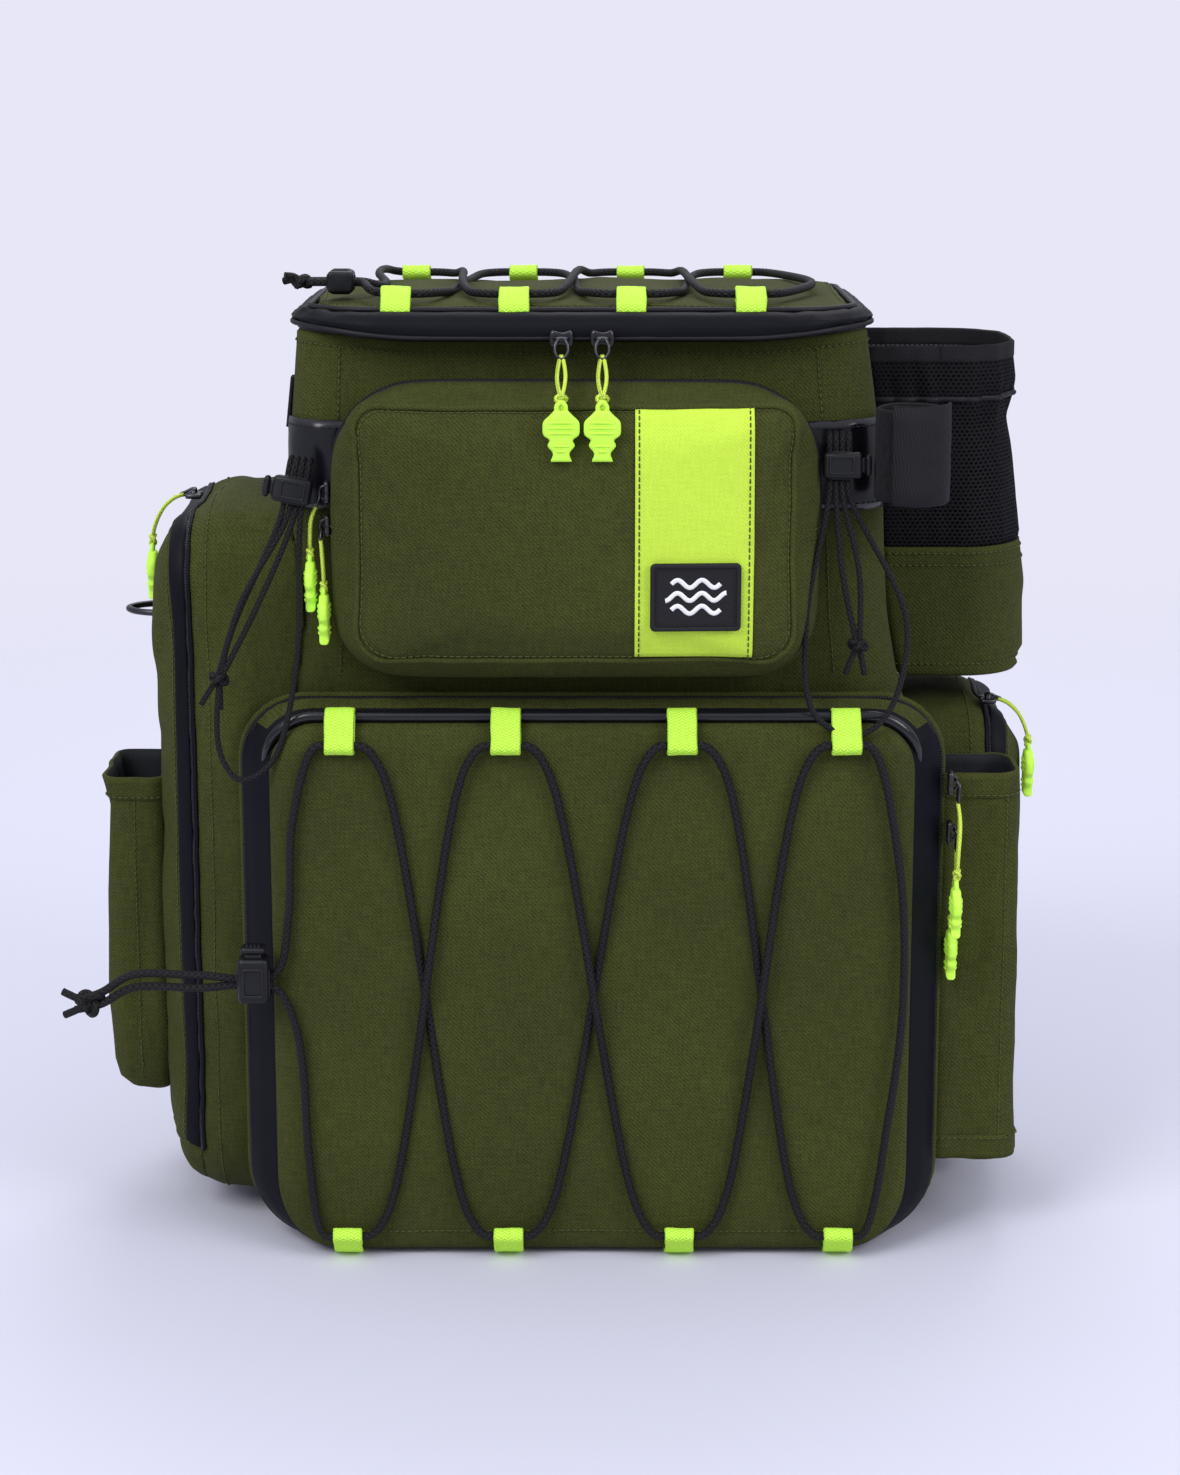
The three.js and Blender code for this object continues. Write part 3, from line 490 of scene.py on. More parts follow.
# ------------------------------------------------------------------ finishes
class Finish:
    """A procedural material: one Principled shader and the nodes that drive it."""

    def __init__(self, name, slot, gloss=0.5, **values):
        self.material = bpy.data.materials.new(name)
        self.material.use_nodes = True
        self.tree = self.material.node_tree
        self.shader = self.tree.nodes["Principled BSDF"]
        self.slot = slot
        self.shader.inputs["Specular IOR Level"].default_value = gloss
        self.set(**values)

    def put(self, socket, value):
        if isinstance(value, bpy.types.NodeSocket):
            self.tree.links.new(value, socket)
        else:
            socket.default_value = value

    def set(self, **values):
        for name, value in values.items():
            self.put(self.shader.inputs[name.replace("_", " ").title()], value)

    def node(self, kind, **inputs):
        made = self.tree.nodes.new("ShaderNode" + kind)
        for name, value in inputs.items():
            self.put(made.inputs[name.replace("_", " ").title()], value)
        return made

    def math(self, operation, *values):
        made = self.tree.nodes.new("ShaderNodeMath")
        made.operation = operation
        for socket, value in zip(made.inputs, values):
            self.put(socket, value)
        return made.outputs[0]

    def times(self, value, factor):
        return self.math("MULTIPLY", value, factor)

    def plus(self, *values):
        total = values[0]
        for value in values[1:]:
            total = self.math("ADD", total, value)
        return total

    def above(self, value, level, gain):
        """How far a value is above a level, enlarged."""
        return self.times(self.math("SUBTRACT", value, level), gain)

    def wave(self, length, period):
        """A sine of a length in mm, from -1 to 1."""
        return self.math("SINE", self.times(length, 2 * math.pi / period))

    def mix(self, factor, first, second):
        made = self.tree.nodes.new("ShaderNodeMix")
        made.data_type = "RGBA"
        made.clamp_factor = True
        self.put(made.inputs[0], factor)
        self.put(made.inputs[6], first)
        self.put(made.inputs[7], second)
        return made.outputs[2]

    def multiplied(self, first, second):
        made = self.tree.nodes.new("ShaderNodeMix")
        made.data_type = "RGBA"
        made.blend_type = "MULTIPLY"
        made.inputs[0].default_value = 1.0
        self.put(made.inputs[6], first)
        self.put(made.inputs[7], second)
        return made.outputs[2]

    def vector(self, x, y):
        return self.node("CombineXYZ", x=x, y=y, z=0.0).outputs[0]

    def split(self, vector):
        return self.node("SeparateXYZ", vector=vector).outputs[:3]

    def noise(self, vector, scale, detail=2.0):
        made = self.node("TexNoise", vector=vector, scale=scale, detail=detail)
        return made.outputs["Fac"]

    def lie(self):
        """Two lengths along the cloth in mm, taken from where the surface is and which way it faces."""
        coords = self.node("TexCoord")
        x, y, z = [self.times(c, 1 / MM) for c in self.split(coords.outputs["Object"])]
        nx, ny, nz = [self.math("ABSOLUTE", c) for c in self.split(coords.outputs["Normal"])]
        sideways = self.math("GREATER_THAN", nx, self.math("MAXIMUM", ny, nz))
        upwards = self.math("GREATER_THAN", nz, self.math("MAXIMUM", nx, ny))
        u = self.plus(self.times(y, sideways), self.times(x, self.math("SUBTRACT", 1.0, sideways)))
        v = self.plus(self.times(y, upwards), self.times(z, self.math("SUBTRACT", 1.0, upwards)))
        return u, v

    def run(self):
        """Length along a swept piece in mm, and 0 to 1 round it."""
        along, around, _ = self.split(self.node("UVMap").outputs[0])
        return along, around

    def place(self):
        return self.node("TexCoord").outputs["Object"]

    def bump(self, height, depth):
        """Relief: depth in mm is the height of a full step."""
        made = self.node("Bump", height=height, distance=depth * MM, strength=1.0)
        self.set(normal=made.outputs[0])

    # Painted glow: emission on a part that is no lamp, so that it looks brighter than its lighting.
    def painted_glow(self, color, strength):
        if strength:
            self.set(emission_color=[*color, 1], emission_strength=strength)

    def worn_edges(self, level, gain):
        """How sharply the mesh stands out, where that is above a level."""
        return self.above(self.node("NewGeometry").outputs["Pointiness"], level, gain)

    @staticmethod
    def faded(color, gain):
        """A lighter or darker colour, opaque."""
        return [min(c * gain, 1) for c in color] + [1]

    def tinted(self, color, amount, light, dark):
        """A colour that runs from dark to light as amount goes from 0 to 1."""
        return self.mix(amount, self.faded(color, dark), self.faded(color, light))


def woven(name, slot, color, pitch=1.5, relief=0.22, contrast=0.45, fading=0.3):
    """Twill: fine diagonal ribs, uneven yarns that show as short streaks, and broad faded patches."""
    f = Finish(name, slot, roughness=0.88, gloss=0.2)
    u, v = f.lie()
    rib = f.wave(f.plus(u, v), pitch * 1.5)
    cross = f.times(rib, f.wave(f.math("SUBTRACT", u, f.times(v, 0.4)), pitch))
    weft = f.noise(f.vector(f.times(u, 0.10), f.times(v, 0.85)), 1.0, 3.0)
    warp = f.noise(f.vector(f.times(u, 0.85), f.times(v, 0.10)), 1.0, 3.0)
    fleck = f.noise(f.vector(f.times(u, 0.9), f.times(v, 0.9)), 1.0)
    yarn = f.times(f.plus(weft, warp, fleck), 1 / 3)
    height = f.plus(f.times(rib, 0.25), f.times(cross, 0.25), f.times(yarn, 1.4))
    shade = f.plus(f.above(yarn, 0.5, 2.6), 0.5)
    shade = f.plus(shade, f.plus(f.times(rib, 0.22), f.times(cross, 0.22)))
    fade = f.plus(f.above(f.noise(f.place(), 9.0, 4.0), 0.5, 2.0), 0.5)
    cloth = f.multiplied(f.tinted(color, shade, 1 + contrast, 1 - contrast),
                         f.tinted((1, 1, 1), fade, 1.0, 1 - fading))
    f.set(base_color=f.mix(f.worn_edges(0.52, 4.0), cloth, f.faded(color, 1.4)))
    f.bump(height, relief)
    return f


def coated(name, slot, color, roughness, grain=0.1, gloss=0.3):
    """Coated fabric: a smooth polyurethane skin with a fine pebble and soft shine."""
    f = Finish(name, slot, gloss=gloss)
    spot = f.node("TexVoronoi", vector=f.place(), scale=900.0).outputs["Distance"]
    cloud = f.noise(f.place(), 26.0, 4.0)
    f.set(base_color=f.tinted(color, cloud, 1.3, 0.7))
    f.set(roughness=f.plus(f.times(cloud, 0.22), roughness - 0.08))
    f.bump(f.plus(f.times(spot, 0.5), f.times(cloud, 0.7)), grain)
    return f


def webbing(name, slot, color, painted_glow=0.0):
    """Woven strap: ribs across it in a herringbone that turns at each yarn; it may also get a painted glow, a
    little emission that makes it brighter than its lighting.
    """
    f = Finish(name, slot, roughness=0.7, gloss=0.25)
    along, around = f.run()
    across = f.times(around, 30.0)
    zigzag = f.math("PINGPONG", across, 1.5)
    rib = f.wave(f.plus(along, zigzag), 1.6)
    yarn = f.noise(f.vector(f.times(along, 0.25), across), 1.4)
    height = f.plus(f.times(rib, 0.5), yarn)
    f.set(base_color=f.tinted(color, height, 1.12, 0.72))
    f.painted_glow(color, painted_glow)
    f.bump(height, 0.25)
    return f


def braided(name, slot, color, repeat=3.2, relief=0.35):
    """Shock cord: a sleeve of yarns that cross in two spirals."""
    f = Finish(name, slot, roughness=0.62, gloss=0.25)
    along, around = f.run()
    turn = f.times(around, repeat * 6)
    one = f.wave(f.plus(along, turn), repeat)
    two = f.wave(f.math("SUBTRACT", along, turn), repeat)
    height = f.plus(f.times(f.math("MAXIMUM", one, two), 0.6), f.times(f.noise(f.place(), 900.0), 0.5))
    f.set(base_color=f.tinted(color, height, 1.6, 0.5))
    f.bump(height, relief)
    return f


def moulded(name, slot, color, roughness=0.42, metallic=0.0, painted_glow=0.0, wear=1.8, gloss=0.3):
    """Moulded or cast parts: a faint spark-eroded grain, and edges rubbed a little lighter; they may also get
    a painted glow, a little emission that makes them brighter than their lighting.
    """
    f = Finish(name, slot, metallic=metallic, gloss=gloss)
    grain = f.noise(f.place(), 1600.0, 3.0)
    cloud = f.noise(f.place(), 60.0, 3.0)
    f.set(base_color=f.mix(f.worn_edges(0.53, 8.0), f.tinted(color, cloud, 1.1, 0.88), f.faded(color, wear)))
    f.set(roughness=f.plus(f.times(cloud, 0.2), roughness - 0.1))
    f.painted_glow(color, painted_glow)
    f.bump(grain, 0.05)
    return f


def netted(name, slot, color, cell=3.0, see_through=None):
    """Knitted mesh: rows of round holes set half a cell apart."""
    f = Finish(name, slot, roughness=0.85, gloss=0.15)
    u, v = f.lie()
    row = f.times(v, 1 / (cell * 0.8))
    odd = f.math("MODULO", f.math("FLOOR", row), 2.0)
    column = f.plus(f.times(u, 1 / cell), f.times(odd, 0.5))
    du = f.math("SUBTRACT", f.math("FRACT", column), 0.5)
    dv = f.math("SUBTRACT", f.math("FRACT", row), 0.5)
    reach = f.math("SQRT", f.plus(f.times(du, du), f.times(dv, dv)))
    solid = f.math("MINIMUM", f.math("MAXIMUM", f.above(reach, 0.26, 9.0), 0.0), 1.0)
    yarn = f.noise(f.place(), 1300.0)
    f.set(base_color=f.tinted(color, f.times(solid, yarn), 2.2, 0.25))
    f.bump(f.plus(solid, f.times(yarn, 0.4)), 0.5)
    if see_through:
        f.set(alpha=f.math("MAXIMUM", solid, 1 - see_through))
    return f


def fuzzy(name, slot, color):
    """Loop side of a hook-and-loop strap."""
    f = Finish(name, slot, roughness=1.0, gloss=0.0, sheen_weight=0.05, sheen_roughness=0.7)
    pile = f.noise(f.place(), 1500.0, 4.0)
    clump = f.noise(f.place(), 280.0, 3.0)
    height = f.plus(pile, clump)
    f.set(base_color=f.tinted(color, f.math("SUBTRACT", height, 0.5), 1.9, 0.4))
    f.bump(height, 0.9)
    return f


def ribbed(name, slot, color):
    """Zip coil: close-set teeth along the run."""
    f = Finish(name, slot, roughness=0.45, gloss=0.3)
    along, _ = f.run()
    tooth = f.wave(along, 1.4)
    f.set(base_color=f.tinted(color, f.times(f.plus(tooth, 1.0), 0.5), 2.0, 0.4))
    f.bump(tooth, 0.4)
    return f


OLIVE = (0.050, 0.0575, 0.0105)
NEON = (0.52, 0.90, 0.075)
COATED = "black_coated_fabric"

olive = woven("olive_twill", "olive_fabric", OLIVE)
lining = woven("lining_cloth", "lining", (0.020, 0.022, 0.026), pitch=1.2, relief=0.1, contrast=0.2)
rim_finish = coated("coated_rim", COATED, (0.0048, 0.0050, 0.0080), roughness=0.5, gloss=0.1)
band_finish = coated("coated_band", COATED, (0.0050, 0.0052, 0.0075), roughness=0.2, grain=0.05, gloss=0.5)
band_soft = coated("zip_band", COATED, (0.0045, 0.0048, 0.0078), roughness=0.5, grain=0.06, gloss=0.1)
black_trim = coated("trim_tape", COATED, (0.0062, 0.0062, 0.0088), roughness=0.5)
zip_finish = ribbed("zip_coil", COATED, (0.009, 0.009, 0.012))
black_web = webbing("black_webbing", "black_webbing", (0.0085, 0.0085, 0.0110))
# The neon webbing has a painted glow: a little emission that makes it brighter than its lighting.
neon_web = webbing("neon_webbing", "neon_webbing", NEON, painted_glow=0.12)
accent_finish = woven("accent_twill", "neon_webbing", (0.54, 0.77, 0.068), pitch=1.3, relief=0.12,
                      contrast=0.1, fading=0.04)
cord_finish = braided("shock_cord", "black_shock_cord", (0.0062, 0.0060, 0.0072))
pull_cord = braided("pull_cord", "neon_plastic", NEON, repeat=2.0, relief=0.15)
# The neon rubber has a painted glow: a little emission that makes it brighter than its lighting.
neon_plastic = moulded("neon_rubber", "neon_plastic", NEON, roughness=0.5, painted_glow=0.1, wear=1.1)
plastic = moulded("black_acetal", "black_plastic", (0.0050, 0.0052, 0.0070), wear=2.4)
rubber = moulded("patch_rubber", "black_plastic", (0.0075, 0.0075, 0.0100), roughness=0.62)
metal = moulded("dark_metal", "dark_metal", (0.05, 0.05, 0.055), roughness=0.32, metallic=0.9, gloss=0.5)
net = netted("bottle_net", "black_mesh", (0.0055, 0.0055, 0.0070), cell=2.6, see_through=0.22)
air_mesh = netted("air_mesh", "black_mesh", (0.0075, 0.0075, 0.0095), cell=3.4)
fuzz = fuzzy("loop_pile", "black_webbing", (0.0060, 0.0060, 0.0075))
olive_thread = moulded("olive_thread", "olive_fabric", (0.062, 0.070, 0.016), roughness=0.6)
black_thread = moulded("black_thread", "black_webbing", (0.012, 0.012, 0.015), roughness=0.6)
white_print = moulded("white_print", "black_plastic", (0.80, 0.80, 0.80), roughness=0.5)


def sewn(name, rows, body, thread=olive_thread):
    """Rows of stitches as one piece."""
    piece(name, merged(rows), thread, body, recalculate=False)


# ------------------------------------------------------------------ body
def panel_profile(node, side):
    """A side panel's outermost x at each of its levels, as heights and values in mm."""
    levels = {}
    for vertex in NODES[node].data.vertices:
        z = round(vertex.co.z / MM)
        levels[z] = max(levels.get(z, -1e9), side * vertex.co.x / MM)
    heights = sorted(levels)
    return heights, [side * levels[z] for z in heights]


left_profile = panel_profile("left_side_panel", -1)
right_profile = panel_profile("right_side_panel", 1)
FRONT_Y = box("left_side_panel")[0][1]
BACK_Y = box("back_panel")[1][1]
BODY_TOP = box("left_side_panel")[1][2]
FLOOR_Z = box("compartment_floor")[1][2]
BODY_COUNT = 240  # points round the body's outline
TOP_SLOPE = math.tan(-LID_TILT)

rim_lo, rim_hi = box("lid_rim")
RIM_LIFT, RIM_RISE = 4.0, 5.5  # how far the rim's lower edge is raised everywhere, and further at its corners


def rim_rise(x):
    """The lid's rim is deep in front and behind, and narrows round its corners: its lower edge rises."""
    return RIM_LIFT + RIM_RISE * smooth(np.abs(x - (rim_lo[0] + rim_hi[0]) / 2), 80, 150)


def body_ring(z, inset=0.0, count=BODY_COUNT):
    """The body's outline at a height; the top edge falls towards the back and follows the rim."""
    rect = (np.interp(z, *left_profile), np.interp(z, *right_profile), FRONT_Y, BACK_Y)
    ring = with_height(rounded(rect, CORNER, inset, count), z)
    ring[:, 2] -= TOP_SLOPE * (ring[:, 1] - FRONT_Y) * smooth(z, FLOOR_Z, BODY_TOP)
    ring[:, 2] += rim_rise(ring[:, 0]) * smooth(z, BODY_TOP - 70, BODY_TOP)
    return ring


def softened(points):
    """How free the body's fabric is: least at its corners and along the base and the floor."""
    x, y, z = points.T
    flat = np.clip((np.maximum(abs(y / 95), abs(x / 160) * 0.55) - 0.2), 0.2, 1)
    off_floor = 0.35 + 0.65 * smooth(abs(z - FLOOR_Z), 5, 40)
    return flat * smooth(z, 4, 60) * off_floor * smooth(BODY_TOP + 4 - z, 0, 40)


OPENING = (-154, 154, 8, 282)  # the tray opening in the front, as x0, x1, z0, z1


def body_seam(angle, start, end, count):
    """An upright line on the body; angle goes from 0 to 1 round it."""
    return np.array([body_ring(z)[int(BODY_COUNT * angle)] for z in np.linspace(start, end, count)])


def make_body():
    levels = [(0.6, 7), (1.6, 3.5), (5, 1.2), (12, 0.2)]
    levels += [(z, 0) for z in np.linspace(20, 280, 34)]
    levels += [(286, 0.3), (FLOOR_Z, 0.8), (292, 0.4)]
    levels += [(z, 0) for z in np.linspace(300, BODY_TOP - 3, 26)] + [(BODY_TOP, 0.6)]
    rings = [body_ring(z, inset) for z, inset in levels]
    panels = ("front_panel", "left_side_panel", "right_side_panel", "back_panel", "bottom_panel")
    shell = piece("body_shell", bowl(rings), olive, "root", replaces=panels, inner=lining, recalculate=False)
    for number, angle in enumerate((0.12, 0.38, 0.62, 0.88)):
        seam_pull(shell, body_seam(angle, 300, 462, 40), 7, 0.9, 0.8, 9, 3 + number)
    rumple(shell, 1.5, (55, 60, 90), 1, softened)
    rumple(shell, 0.7, (14, 16, 40), 2, softened)
    thicken(shell, 3.0)
    cutter = make_object("tray_cutter", lay(cushion(OPENING, 14, [(60, 0), (120, 0)]), FRONT), [])
    apply(shell, "BOOLEAN", object=cutter, operation="DIFFERENCE", solver="EXACT")
    bpy.data.objects.remove(cutter)
    return shell


shell = make_body()


def body_seams():
    rows = []
    for angle in (0.13, 0.37, 0.63, 0.87):
        path, ups = hug(body_seam(angle, 304, 460, 60), shell, lift=0.3)
        rows.append(stitching(path, ups))
    waist, ups = hug(body_ring(FLOOR_Z + 7, count=400), shell, lift=0.25)
    behind = waist[:, 1] > FRONT_Y + 12
    rows.append(stitching(waist[behind], ups[behind]))
    top, ups = hug(body_ring(BODY_TOP - 7, count=400), shell, lift=0.25)
    rows.append(stitching(top, ups, closed=True))
    sewn("body_topstitching", rows, "root")
    edge, _ = hug(body_ring(9, -0.2, count=300), shell, lift=0.2)
    piece("base_piping", tube(edge, 1.9, closed=True, sides=8), olive, "root")
    lip = body_ring(BODY_TOP, 1.4, count=260)
    piece("mouth_binding", sweep(lip, ellipse(3.4, 1.6, 12), [0, 0, 1], closed=True), black_trim, "root")


body_seams()


def make_floor():
    lo, hi = box("compartment_floor")
    profile = [(lo[2] + 0.4, 1.2), (lo[2] + 2, 0), (hi[2] - 1.6, 0), (hi[2] - 0.4, 1.6)]
    pad = cushion((lo[0], hi[0], lo[1], hi[1]), 18, profile, crown=0.6, back=-0.2)
    floor = piece("compartment_divider", pad, lining, "root", replaces=("compartment_floor",))
    rumple(floor, 0.3, 30, 5)


make_floor()

# ------------------------------------------------------------------ lid
LID_HALF = (rim_hi[0] - rim_lo[0]) / 2
LID_DEPTH = (rim_hi[1] - rim_lo[1]) / math.cos(LID_TILT) - 0.6
LID_ORIGIN = ((rim_lo[0] + rim_hi[0]) / 2, rim_lo[1], rim_lo[2] + math.sin(-LID_TILT) * LID_DEPTH)
LID_AXES = np.array(Matrix.Rotation(LID_TILT, 3, "X")).T
LID_RECT = (-LID_HALF, LID_HALF, 0, LID_DEPTH)
LID_RADII = (46, 46, 34, 34)
RIM_TOP = 17.0
LID_LOCK = (-121, 44)  # where the lid's cord lock is, across and up the lid
LID_LOCK_HEIGHT = 22 + LACE_HEIGHT + 2
LACE_LEVEL = 24.6  # height of the lacing's centre above the lid's plane
TWISTED_CORD = 1.06  # a cord's drawn radius to its nominal one


def on_lid(shape):
    return lay(shape, LID_AXES, LID_ORIGIN)


def lid_sag(shape):
    """The lid's rim with its lower edge hanging a little in front and raised round the corners."""
    points = shape[0].copy()
    x, y, z = points.T
    low = 1 - smooth(z, 1, RIM_TOP - 2)
    bow = np.clip(1 - (x / 128) ** 2, 0, 1) * smooth(9 - y, 0, 6) * low
    points[:, 2] += rim_rise(x + LID_ORIGIN[0]) * low - 1.2 * bow
    points[:, 1] -= 0.8 * bow
    return (points, *shape[1:])


def make_lid():
    rail = [(2.5, 7), (0.8, 3.2), (0.6, 1.2), (2, -0.1), (5, -0.6), (9, -0.6), (12.0, 0.4), (14.6, 2.2),
            (16.2, 4.6), (16.6, 7.2), (15.6, 9.0), (12, 9.6), (6, 9.6)]
    rim = piece("lid_rim_roll", on_lid(lid_sag(border(LID_RECT, LID_RADII, rail))), rim_finish, "lid",
                replaces=("lid_rim",))

    def corners(p):
        return 0.2 + smooth(abs(p[:, 0] + 5), 90, 125) * smooth(-p[:, 1], 40, 80)

    def crown(p):
        return smooth(p[:, 2], BODY_TOP + 12, BODY_TOP + 16)

    rumple(rim, 1.3, (10, 10, 60), 7, corners)
    profile = [(9, 10.2), (13, 9.4), (16.2, 9.8), (18.2, 12.5), (19.8, 18)]
    top = on_lid(cushion(LID_RECT, LID_RADII, profile, crown=4.2))
    panel = piece("lid_top", top, olive, "lid", replaces=("lid_panel",))
    rumple(panel, 2.4, (70, 60, 50), 8, crown)
    rumple(panel, 1.0, 20, 9, crown)
    apply(panel, "SUBSURF", levels=1)
    seam = on_lid((with_height(rounded(LID_RECT, LID_RADII, 9.2, 300), 17.4), []))[0]
    piece("lid_piping", tube(seam, 1.5, closed=True, sides=8), black_trim, "lid")
    row = on_lid((with_height(rounded(LID_RECT, LID_RADII, 14, 300), 20), []))[0]
    path, ups = hug(row, panel, lift=0.2)
    sewn("lid_topstitching", [stitching(path, ups, closed=True)], "lid")
    under = cushion(LID_RECT, LID_RADII, [(3.4, 13), (4.4, 10.4), (8.4, 10.4)], crown=0, back=2.0)
    piece("lid_lining", on_lid(under), lining, "lid")
    row = with_height(rounded(LID_RECT, LID_RADII, 0.2, 300), 0.2)
    row[:, 2] += rim_rise(row[:, 0] + LID_ORIGIN[0])
    piece("lid_zip_tape", tube(on_lid((row, []))[0], 1.3, closed=True, sides=8), black_trim, "lid")
    return panel


lid_top = make_lid()


# ------------------------------------------------------------------ tabs and lacing
def tab_shape(line, x):
    """Webbing swept along a tab's side view; x is where it stands along the row."""
    path = spline(np.column_stack([np.full(len(line), x), line]), 1.2)
    return ribbon(path, np.cross(tangents(path, False), [1, 0, 0]), TAB_WIDTH, 1.1)


def visit(x, row, towards, bend, shoulder):
    """Points of a strand that passes through one tab."""
    leave = TAB_WIDTH / 2 + 4.5
    before = (x - towards * (leave + shoulder[0]), row + bend * shoulder[1])
    after = (x + towards * (leave + shoulder[0]), row + bend * shoulder[1])
    middle = [(x + towards * leave * k, row) for k in (-1, -1 / 3, 1 / 3, 1)]
    return [before, *middle, after]


def lace(xs_near, xs_far, rows, ends, shoulder):
    """Cord laced out and back between two rows of tabs, as one line in the plane of the panel."""
    start, turn, end = ends
    sign = 1 if rows[1] > rows[0] else -1
    columns = (xs_near, xs_far)
    bends = (sign, -sign)
    out, back = [], []
    for i in range(len(xs_near)):
        row = i % 2
        out += visit(columns[row][i], rows[row], 1, bends[row], shoulder)
    for i in reversed(range(len(xs_near))):
        row = 1 - i % 2
        back += visit(columns[row][i], rows[row], -1, bends[row], shoulder)
    return spline([*start, *out[1:-1], *turn, *back[1:-1], *end], 1.5)


def crossing_rise(line, free):
    """Where the cord crosses itself the later run climbs and the earlier one is pressed into the padding."""
    length = np.concatenate([[0], np.cumsum(np.linalg.norm(np.diff(line, axis=0), axis=1))])
    gap = np.linalg.norm(line[:, None] - line[None, :], axis=2)
    ahead = length[:, None] - length[None, :]
    far, near, apart = 60, 15, 1e3
    over = np.where((ahead > far) & free[None, :], gap, apart).min(axis=1)
    under = np.where((ahead < -far) & free[None, :], gap, apart).min(axis=1)
    climb = 1.45 * CORD * smooth(near - over, 0, near - 3)
    press = 0.65 * CORD * smooth(near - under, 0, near - 3)
    return (climb - press) * free


def knot(centre, size, radius, axes=np.eye(3)):
    """An overhand knot pulled tight."""
    t = np.linspace(0, 2 * math.pi, 60, endpoint=False)
    x, y, z = np.sin(t) + 2 * np.sin(2 * t), np.cos(t) - 2 * np.cos(2 * t), -1.2 * np.sin(3 * t)
    path = np.stack([x, y, z], axis=1)
    return tube(path * size / 3 @ axes + centre, radius, closed=True, sides=8)


def cut_ends(start, directions, radius, length):
    """Loose cord ends that leave a knot."""
    shapes = []
    for aim in np.array(directions):
        path = [start, start + aim * length * 0.5, start + aim * length + [0, 0, -length * 0.2]]
        shapes.append(tube(spline(path, 1.5), radius, sides=9))
    return shapes


def lid_lacing():
    row_inset = 20
    rows = [row_inset, LID_DEPTH - row_inset]
    fronts = [-92, -33.5, 24.5, 83.5]
    rears = [-90, -32, 26, 84]
    in_lock = [-138, -129, -120, -111]

    def strand(side, x):
        return (x, LID_LOCK[1] + side * LOOP_SPREAD)

    start = [strand(-1, x) for x in in_lock]
    turn = [(112, 145), (119, 101), (112, 60)]
    end = [(-107, 128), (-101, 92), (-103, 62), *[strand(1, x) for x in in_lock[::-1]]]
    line = lace(fronts, rears, rows, (start, turn, end), (11, 14))
    above = on_lid((with_height(line, 40), []))[0]
    resting, _ = hug(above, lid_top, lift=CORD + 0.1, direction=LID_AXES[2] * -1)
    height = (resting - LID_ORIGIN) @ LID_AXES.T
    height = averaged(np.maximum(height[:, 2], LACE_LEVEL), 10)
    locked = smooth(-line[:, 0], 98, 112)
    height = height * (1 - locked) + LID_LOCK_HEIGHT * locked + crossing_rise(line, line[:, 0] > -98)
    tail = np.array([-141, LID_LOCK[1], LID_LOCK_HEIGHT])
    shapes = [tube(with_height(line, averaged(height, 3)), CORD * TWISTED_CORD, sides=12),
              knot(tail, 4.6, CORD * 0.95), *cut_ends(tail, [(-0.8, -0.3, 0.5), (-0.9, 0.4, 0.2)], CORD, 10)]
    piece("lid_shock_cord", on_lid(merged(shapes)), cord_finish, "lid", replaces=("lid_lacing_cord",),
          recalculate=False)
    side_view = [(8.2, 14.5), (7.4, 17.8), (10.5, 21.8), (15.5, 25.8), (20, LACE_LEVEL + 3.1),
                 (23.2, LACE_LEVEL), (20, LACE_LEVEL - 3.1), (15, 21.2), (10.2, 18.8), (9.2, 15)]
    mirror = [(LID_DEPTH - v, w) for v, w in side_view]
    shapes = [tab_shape(side_view, x) for x in fronts] + [tab_shape(mirror, x) for x in rears]
    tabs = piece("lid_webbing_tabs", on_lid(merged(shapes)), neon_web, "lid", replaces=("lid_tabs",))
    rumple(tabs, 0.5, 12, 12)


lid_lacing()

# ------------------------------------------------------------------ tray door
band_lo, band_hi = box("door_zip_band")
DOOR_RECT = (band_lo[0], band_hi[0], band_lo[2], band_hi[2])
DOOR_RADII = (41, 41, 32, 32)
DOOR_FACE = 122.5  # how far forward of the middle plane the door's face is
DOOR_SEAM = 112.0  # and the seam of its face and its zip band


def door_line(inset, w, count):
    """A line round the door at a distance w forward."""
    return on_front((with_height(rounded(DOOR_RECT, DOOR_RADII, inset, count), w), []))[0]


def narrowed(points):
    """The door's sides lean in from the zip to the face, while its face reaches down to the hem."""
    x, y, z = points.T
    out = points.copy()
    out[:, 0] -= np.sign(x) * (1.5 + 5.5 * smooth(-y, 99, 112)) * smooth(np.abs(x), 95, 165)
    out[:, 2] -= np.minimum(8.0 * smooth(-y, 99, 112) * (1 - smooth(z, 6, 60)), np.maximum(z - 0.8, 0))
    return out


def on_front(shape):
    """Lays a shape on the front, with the door's sides leaning in."""
    points, *rest = lay(shape, FRONT)
    return (narrowed(points), *rest)


def make_tray_frame():
    """An olive flange round the tray opening, with the zip's tape on it."""
    rect = (band_lo[0] - 3.2, band_hi[0] + 3.2, 0.8, 294)
    radii = (43, 43, 34, 34)
    near, far = 96.4, 92.6
    rail = [(far, 0.8), (near - 1.2, 0), (near, 1.2), (near, 20), (near - 1.6, 26.2), (far, 26.2)]
    piece("tray_frame", on_front(border(rect, radii, rail)), olive, "root")
    tape = [(near - 0.4, 5), (near + 0.5, 5.6), (near + 0.5, 22), (near - 0.4, 22.6)]
    piece("tray_zip_tape", on_front(border(rect, radii, tape)), black_trim, "root")


make_tray_frame()


HEM = (-118, 124)  # between these x the door's lower edge is folded fabric instead of zip band


def is_hem(points):
    return (points[:, 2] < 9) & (points[:, 0] > HEM[0]) & (points[:, 0] < HEM[1])


def is_storm_flap(points):
    """Along the top, fabric covers the zip up to the piping."""
    return (points[:, 2] > 276) & (points[:, 1] > -106.5)


